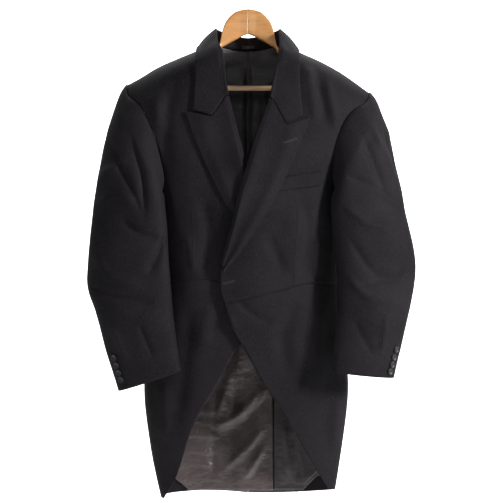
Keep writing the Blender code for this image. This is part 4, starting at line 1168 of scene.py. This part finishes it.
class Nodes:
    """Short hand for building one material's node tree."""

    def __init__(self, name):
        self.mat = bpy.data.materials.new(name)
        self.mat.use_nodes = True
        self.tree = self.mat.node_tree
        self.shader = self.tree.nodes["Principled BSDF"]

    def add(self, kind, **inputs):
        node = self.tree.nodes.new(kind)
        for key, value in inputs.items():
            if hasattr(value, "is_linked") or hasattr(value, "links"):
                self.tree.links.new(value, node.inputs[int(key[1:])] if key[0] == "i" and key[1:].isdigit()
                                    else node.inputs[key.replace("_", " ")])
            elif key[0] == "i" and key[1:].isdigit():
                node.inputs[int(key[1:])].default_value = value
            else:
                node.inputs[key.replace("_", " ")].default_value = value
        return node

    def maths(self, operation, a, b=0.0, c=None):
        node = self.tree.nodes.new("ShaderNodeMath")
        node.operation = operation
        for k, value in enumerate((a, b, c)):
            if value is None:
                continue
            if hasattr(value, "is_linked"):
                self.tree.links.new(value, node.inputs[k])
            else:
                node.inputs[k].default_value = value
        return node.outputs[0]

    def ramp(self, fac, stops):
        node = self.tree.nodes.new("ShaderNodeValToRGB")
        self.tree.links.new(fac, node.inputs[0])
        while len(node.color_ramp.elements) < len(stops):
            node.color_ramp.elements.new(0.5)
        for element, (at, colour) in zip(node.color_ramp.elements, stops):
            element.position = at
            element.color = tuple(colour) + (1,)
        return node.outputs[0]

    def noise(self, vector, scale, detail=3.0, rough=0.5):
        node = self.tree.nodes.new("ShaderNodeTexNoise")
        self.tree.links.new(vector, node.inputs["Vector"])
        node.inputs["Scale"].default_value = scale
        node.inputs["Detail"].default_value = detail
        node.inputs["Roughness"].default_value = rough
        return node.outputs[0]

    def scaled(self, vector, scale):
        node = self.tree.nodes.new("ShaderNodeMapping")
        self.tree.links.new(vector, node.inputs["Vector"])
        node.inputs["Scale"].default_value = scale
        return node.outputs[0]

    def coords(self, which="Object"):
        return self.tree.nodes.new("ShaderNodeTexCoord").outputs[which]

    def bump(self, height, strength, distance, under=None):
        node = self.tree.nodes.new("ShaderNodeBump")
        self.tree.links.new(height, node.inputs["Height"])
        node.inputs["Strength"].default_value = strength
        node.inputs["Distance"].default_value = distance
        if under is not None:
            self.tree.links.new(under, node.inputs["Normal"])
        return node.outputs[0]

    def out(self, **links):
        for key, value in links.items():
            socket = self.shader.inputs[key.replace("_", " ")]
            if hasattr(value, "is_linked"):
                self.tree.links.new(value, socket)
            else:
                socket.default_value = value
        return self.mat


def wool(name, dark, light, sheen):
    """Worsted wool: fine twill that turns back and forth in upright stripes."""
    m = Nodes(name)
    uv = m.coords("UV")
    split = m.tree.nodes.new("ShaderNodeSeparateXYZ")
    m.tree.links.new(uv, split.inputs[0])
    u, v = split.outputs[0], split.outputs[1]
    zig = m.maths("PINGPONG", u, 2.7)
    rib = m.maths("SINE", m.maths("MULTIPLY", m.maths("ADD", v, zig), 2 * math.pi / 1.05))
    stripe = m.maths("GREATER_THAN", m.maths("FRACT", m.maths("DIVIDE", u, 5.4)), 0.5)
    gap = m.maths("ABSOLUTE", m.maths("SUBTRACT", m.maths("FRACT", m.maths("DIVIDE", u, 2.7)), 0.5))
    line = m.maths("GREATER_THAN", gap, 0.43)
    cells = m.coords("Object")
    slub = m.noise(m.scaled(uv, (0.5, 0.05, 1.0)), 2.0, 4.0, 0.6)
    fuzz = m.noise(cells, 900.0, 2.0)
    cloud = m.noise(cells, 9.0, 4.0)
    tone = m.maths("ADD", m.maths("MULTIPLY", rib, 0.10), m.maths("MULTIPLY", stripe, 0.12))
    tone = m.maths("SUBTRACT", tone, m.maths("MULTIPLY", line, 0.06))
    tone = m.maths("ADD", tone, m.maths("MULTIPLY", m.maths("SUBTRACT", slub, 0.5), 1.0))
    tone = m.maths("ADD", tone, m.maths("MULTIPLY", m.maths("SUBTRACT", cloud, 0.5), 0.7))
    tone = m.maths("ADD", tone, m.maths("MULTIPLY", m.maths("SUBTRACT", fuzz, 0.5), 0.5))
    grain = m.noise(cells, 330.0, 3.0, 0.6)
    tone = m.maths("ADD", tone, m.maths("MULTIPLY", m.maths("SUBTRACT", grain, 0.5), 0.8))
    colour = m.ramp(m.maths("ADD", tone, 0.38), ((0.0, dark), (1.0, light)))
    lint = m.maths("GREATER_THAN", m.noise(cells, 420.0, 1.0), 0.765)
    mix = m.tree.nodes.new("ShaderNodeMix")
    mix.data_type = "RGBA"
    m.tree.links.new(m.maths("MULTIPLY", lint, 0.25), mix.inputs["Factor"])
    m.tree.links.new(colour, mix.inputs[6])
    mix.inputs[7].default_value = (0.12, 0.12, 0.125, 1)
    rough = m.maths("ADD", 0.74, m.maths("MULTIPLY", m.maths("SUBTRACT", stripe, 0.5), 0.10))
    weave = m.bump(m.maths("ADD", rib, m.maths("MULTIPLY", fuzz, 0.6)), 0.22, 0.00016)
    soft = m.bump(m.noise(m.scaled(cells, (1.0, 1.0, 0.6)), 34.0, 5.0, 0.6), 0.4, 0.0022, weave)
    m.out(Base_Color=mix.outputs[2], Roughness=rough, Normal=soft, Sheen_Weight=sheen, Sheen_Roughness=0.55,
          Specular_IOR_Level=0.09)
    m.shader.inputs["Sheen Tint"].default_value = (0.75, 0.78, 0.88, 1)
    return m.mat


def satin(name, dark, light, rough, creased):
    """Satin lining: smooth, with fine crumpled wrinkles and a brushed thread."""
    m = Nodes(name)
    cells = m.coords("Object")
    uv = m.coords("UV")
    cloud = m.noise(cells, 14.0, 5.0, 0.6)
    thread = m.noise(m.scaled(uv, (4.0, 0.25, 1.0)), 3.0, 2.0)
    tone = m.maths("ADD", m.maths("MULTIPLY", cloud, 0.7), m.maths("MULTIPLY", thread, 0.3))
    colour = m.ramp(tone, ((0.3, dark), (0.75, light)))
    crumple = m.noise(m.scaled(cells, (1.0, 1.0, 1.7)), 55.0, 6.0, 0.6)
    fine_lines = m.noise(m.scaled(cells, (1.0, 1.0, 3.4)), 120.0, 3.0, 0.6)
    big = m.bump(crumple, creased, 0.005)
    small = m.bump(fine_lines, creased * 0.45, 0.0014, big)
    weave = m.bump(thread, 0.15, 0.0001, small)
    spread = m.maths("ADD", rough, m.maths("MULTIPLY", m.maths("SUBTRACT", cloud, 0.5), 0.2))
    return m.out(Base_Color=colour, Roughness=spread, Normal=weave, Anisotropic=0.4, Specular_IOR_Level=0.5,
                 Sheen_Weight=0.1)


def wood(name, tint, along):
    """Lacquered honey wood, grain running along the piece."""
    m = Nodes(name)
    cells = m.coords("Object")
    stretch = m.scaled(cells, (4.0, 60.0, 60.0) if along == "x" else (60.0, 60.0, 4.0))
    bend = m.noise(cells, 12.0, 2.0)
    grain = m.noise(stretch, 3.0, 6.0, 0.65)
    rings = m.tree.nodes.new("ShaderNodeTexWave")
    rings.wave_type = "BANDS"
    rings.bands_direction = "Z"
    m.tree.links.new(m.scaled(cells, (6.0, 30.0, 60.0)), rings.inputs["Vector"])
    rings.inputs["Scale"].default_value = 1.3
    rings.inputs["Distortion"].default_value = 5.0
    rings.inputs["Detail"].default_value = 3.0
    pores = m.noise(m.scaled(cells, (40.0, 900.0, 900.0)), 1.0, 2.0)
    tone = m.maths("ADD", m.maths("MULTIPLY", grain, 0.6), m.maths("MULTIPLY", rings.outputs[1], 0.07))
    tone = m.maths("ADD", tone, m.maths("MULTIPLY", bend, 0.33))
    colour = m.ramp(tone, ((0.25, [c * 0.6 for c in tint]), (0.5, tint), (0.8, [min(1, c * 1.25) for c in tint])))
    dent = m.bump(pores, 0.12, 0.0002)
    rough = m.maths("ADD", 0.3, m.maths("MULTIPLY", grain, 0.12))
    return m.out(Base_Color=colour, Roughness=rough, Normal=dent, Coat_Weight=0.35, Coat_Roughness=0.18)


def horn():
    m = Nodes("horn")
    cells = m.coords("Object")
    swirl = m.noise(m.scaled(cells, (1.0, 1.0, 2.5)), 160.0, 4.0, 0.6)
    colour = m.ramp(swirl, ((0.3, (0.004, 0.004, 0.0045)), (0.62, (0.012, 0.011, 0.012)), (0.85, (0.03, 0.028, 0.028))))
    scuff = m.noise(cells, 900.0, 3.0)
    return m.out(Base_Color=colour, Roughness=m.maths("ADD", 0.3, m.maths("MULTIPLY", scuff, 0.2)),
                 Normal=m.bump(scuff, 0.08, 0.0001), Specular_IOR_Level=0.35)


def thread(name="thread", dark=(0.016, 0.014, 0.016), light=(0.085, 0.078, 0.082)):
    m = Nodes(name)
    cells = m.coords("Object")
    twist = m.noise(m.scaled(cells, (1.0, 1.0, 1.0)), 2600.0, 2.0)
    colour = m.ramp(twist, ((0.3, dark), (0.8, light)))
    return m.out(Base_Color=colour, Roughness=0.7, Normal=m.bump(twist, 0.5, 0.0002), Specular_IOR_Level=0.2)


def steel():
    m = Nodes("steel")
    cells = m.coords("Object")
    drawn = m.noise(m.scaled(cells, (900.0, 900.0, 30.0)), 1.0, 3.0)
    colour = m.ramp(drawn, ((0.2, (0.42, 0.42, 0.43)), (0.8, (0.62, 0.62, 0.63))))
    return m.out(Base_Color=colour, Metallic=1.0, Roughness=m.maths("ADD", 0.16, m.maths("MULTIPLY", drawn, 0.2)),
                 Normal=m.bump(drawn, 0.1, 0.0001))


def studio():
    m = Nodes("studio")
    cells = m.coords("Object")
    paper = m.noise(cells, 30.0, 3.0)
    colour = m.ramp(paper, ((0.0, (0.86, 0.86, 0.86)), (1.0, (0.9, 0.9, 0.9))))
    return m.out(Base_Color=colour, Roughness=0.9, Normal=m.bump(paper, 0.02, 0.0005))


MATERIAL = {
    "wool": wool("wool", (0.0008, 0.0007, 0.0010), (0.0205, 0.0178, 0.0212), 0.0),
    "inside": satin("inside_lining", (0.008, 0.007, 0.008), (0.02, 0.017, 0.019), 0.5, 0.3),
    "sleeve_lining": satin("sleeve_lining", (0.02, 0.02, 0.021), (0.05, 0.05, 0.052), 0.4, 0.3),
    "satin": satin("satin_lining", (0.026, 0.019, 0.019), (0.072, 0.054, 0.053), 0.25, 0.42),
    # Painted shade: the tail lining's satin at half brightness, for the wearer's-left tail.
    "satin_painted_shade": satin("satin_painted_shade", (0.012, 0.009, 0.0095), (0.036, 0.029, 0.030), 0.4, 0.36),
    "neck_satin": satin("neck_satin", (0.008, 0.0065, 0.007), (0.024, 0.020, 0.021), 0.45, 0.22),
    # One wood in two tints: the wearer's-left arm, on the key lamp's side, a little lighter (painted light), and the
    # wearer's-right arm darker (painted shade).
    "wood_left": wood("wood_left", (0.50, 0.245, 0.085), "x"),
    "wood_right": wood("wood_right", (0.46, 0.215, 0.070), "x"),
    # Trouser bar tinted far lighter than the arms to lift it out of the shade it hangs in: painted light.
    "wood_bar": wood("wood_bar", (0.98, 0.63, 0.36), "x"),
    "horn": horn(),
    "thread": thread(),
    # Near-black colour of the painted shade lines at the darts, cuff slits and welt mouth.
    "seam": thread("seam", (0.001, 0.001, 0.0012), (0.004, 0.004, 0.005)),
    "steel": steel(),
    "studio": studio(),
}


def build_stage():
    """Pale floor that curves up into a backdrop."""
    bm = bmesh.new()
    profile = [(-4.0, -1.55), (-1.0, -1.55), (1.2, -1.55)]
    for degree in range(10, 91, 10):
        a = math.radians(degree)
        profile.append((1.2 + 1.4 * math.sin(a), -1.55 + 1.4 * (1 - math.cos(a))))
    profile.append((2.6, 3.5))
    rows = [[bm.verts.new((x, y, z)) for y, z in profile] for x in np.linspace(-5, 5, 11)]
    for a, b in zip(rows, rows[1:]):
        for k in range(len(profile) - 1):
            bm.faces.new((a[k], b[k], b[k + 1], a[k + 1]))
    for face in bm.faces:
        face.smooth = True
    floor = settle("floor", bm, ("studio",))


def area_light(name, place_at, aim, size, power, colour=(1, 1, 1)):
    data = bpy.data.lights.new(name, "AREA")
    data.shape = "RECTANGLE"
    data.size, data.size_y = size
    data.energy = power
    data.color = colour
    lamp = bpy.data.objects.new(name, data)
    lamp.location = place_at
    lamp.rotation_euler = (Vector(aim) - Vector(place_at)).to_track_quat("-Z", "Y").to_euler()
    bpy.context.scene.collection.objects.link(lamp)


def build_camera_and_light():
    data = bpy.data.cameras.new("camera")
    data.sensor_width = 36.0
    data.lens = 904.76 / 500 * 36.0
    camera = bpy.data.objects.new("camera", data)
    camera.location = (0.0043, -1.940, -0.5918)
    camera.rotation_euler = (math.radians(90), 0, 0)
    bpy.context.scene.collection.objects.link(camera)
    bpy.context.scene.camera = camera
    world = bpy.data.worlds.new("soft")
    world.use_nodes = True
    world.node_tree.nodes["Background"].inputs[0].default_value = (1.0, 1.0, 1.0, 1)
    world.node_tree.nodes["Background"].inputs[1].default_value = 0.1
    bpy.context.scene.world = world
    area_light("key", (2.15, -1.3, 0.1), (0, 0, -0.65), (0.35, 0.5), 112.0)
    area_light("fill", (-1.75, -1.15, 0.75), (0, 0, -0.5), (0.35, 0.35), 17.0)
    area_light("front", (0.2, -2.3, 0.3), (0, 0, -0.6), (0.8, 0.8), 4.0)
    area_light("backdrop", (0.0, 1.0, 1.3), (0, 2.6, -0.3), (3.0, 1.0), 150.0)
    area_light("floor_wash", (0.0, 0.8, 0.9), (0, 1.6, -1.5), (2.5, 0.8), 45.0)
    bpy.context.scene.view_settings.view_transform = "Standard"


def main():
    build_camera_and_light()
    build_stage()
    sides = ((LEFT, 1, "left", SLEEVE_LEFT), (RIGHT, -1, "right", SLEEVE_RIGHT))
    outers, charts = [], {}
    for seams, side, word, _ in sides:
        charts[side] = panels(seams, side)
        for name in ("forepart", "sidebody", "back", "skirt"):
            kind = "wool" if name == "skirt" else "inside"
            pts, _ = panel(name + "_" + word, charts[side][name], side, inner_kind=kind)
            outers.append(pts)
    tree = body_tree(outers)
    for seams, side, word, table in sides:
        g, n = build_sleeve(charts[side], side, table, word, tree)
        armhole_seam(g[0], side, word)
        sleeve = front_tree(["top_sleeve_%s_cloth" % word, "under_sleeve_%s_cloth" % word])
        for k, (x, z) in enumerate(CUFF_BUTTONS[side]):
            spot, face = seat(x, z, sleeve)
            button("cuff_button_%s_%d_horn" % (word, k + 1), "cuff_button_%s_%d" % (word, k + 1), spot, face,
                   0.88, 0.2 * k)
        build_lapel(seams, side, word)
        tail_lining(side, word)
        neck_lining(side, word)
        spot, face = place(side * 47.0, -652.0, False, side)
        swell = float(folds_of_body(spot, turn(47.0 * side, -652.0, False, side)))
        button("back_button_%s_horn" % word, "back_button_" + word, spot + face * max(swell, 0.0), face, 1.2)
    build_collar(tree)
    vent_underlap()
    patch("breast_welt_cloth", "breast_welt", ((72, -444), (151, -430), (147, -460), (62, -471.5)), 1.0, 2.0)
    spot, face = place(-28.0, -655.0, True, -1)
    button("waist_button_horn", "waist_button", spot, face, 0.75)
    build_hanger()
    hanger_loop()
    front = front_tree(["lapel_left_cloth", "forepart_left_cloth", "forepart_right_cloth",
                        "top_sleeve_left_cloth", "top_sleeve_right_cloth", "breast_welt_cloth"])
    # Painted shade lines along the darts, cuff slits and welt mouth.
    for name, points in PAINTED_SHADE_LINES.items():
        painted_shade_line(name, points, front, 0.95 if name == "welt_mouth" else 0.6)
    ring_of_thread("lapel_buttonhole", (72, -374), (100, -365), 1.5, front, 1, "lapel_left_cloth")
    ring_of_thread("front_buttonhole", (-51, -661), (-28, -655), 1.5, front, 1, "forepart_left_cloth")


main()
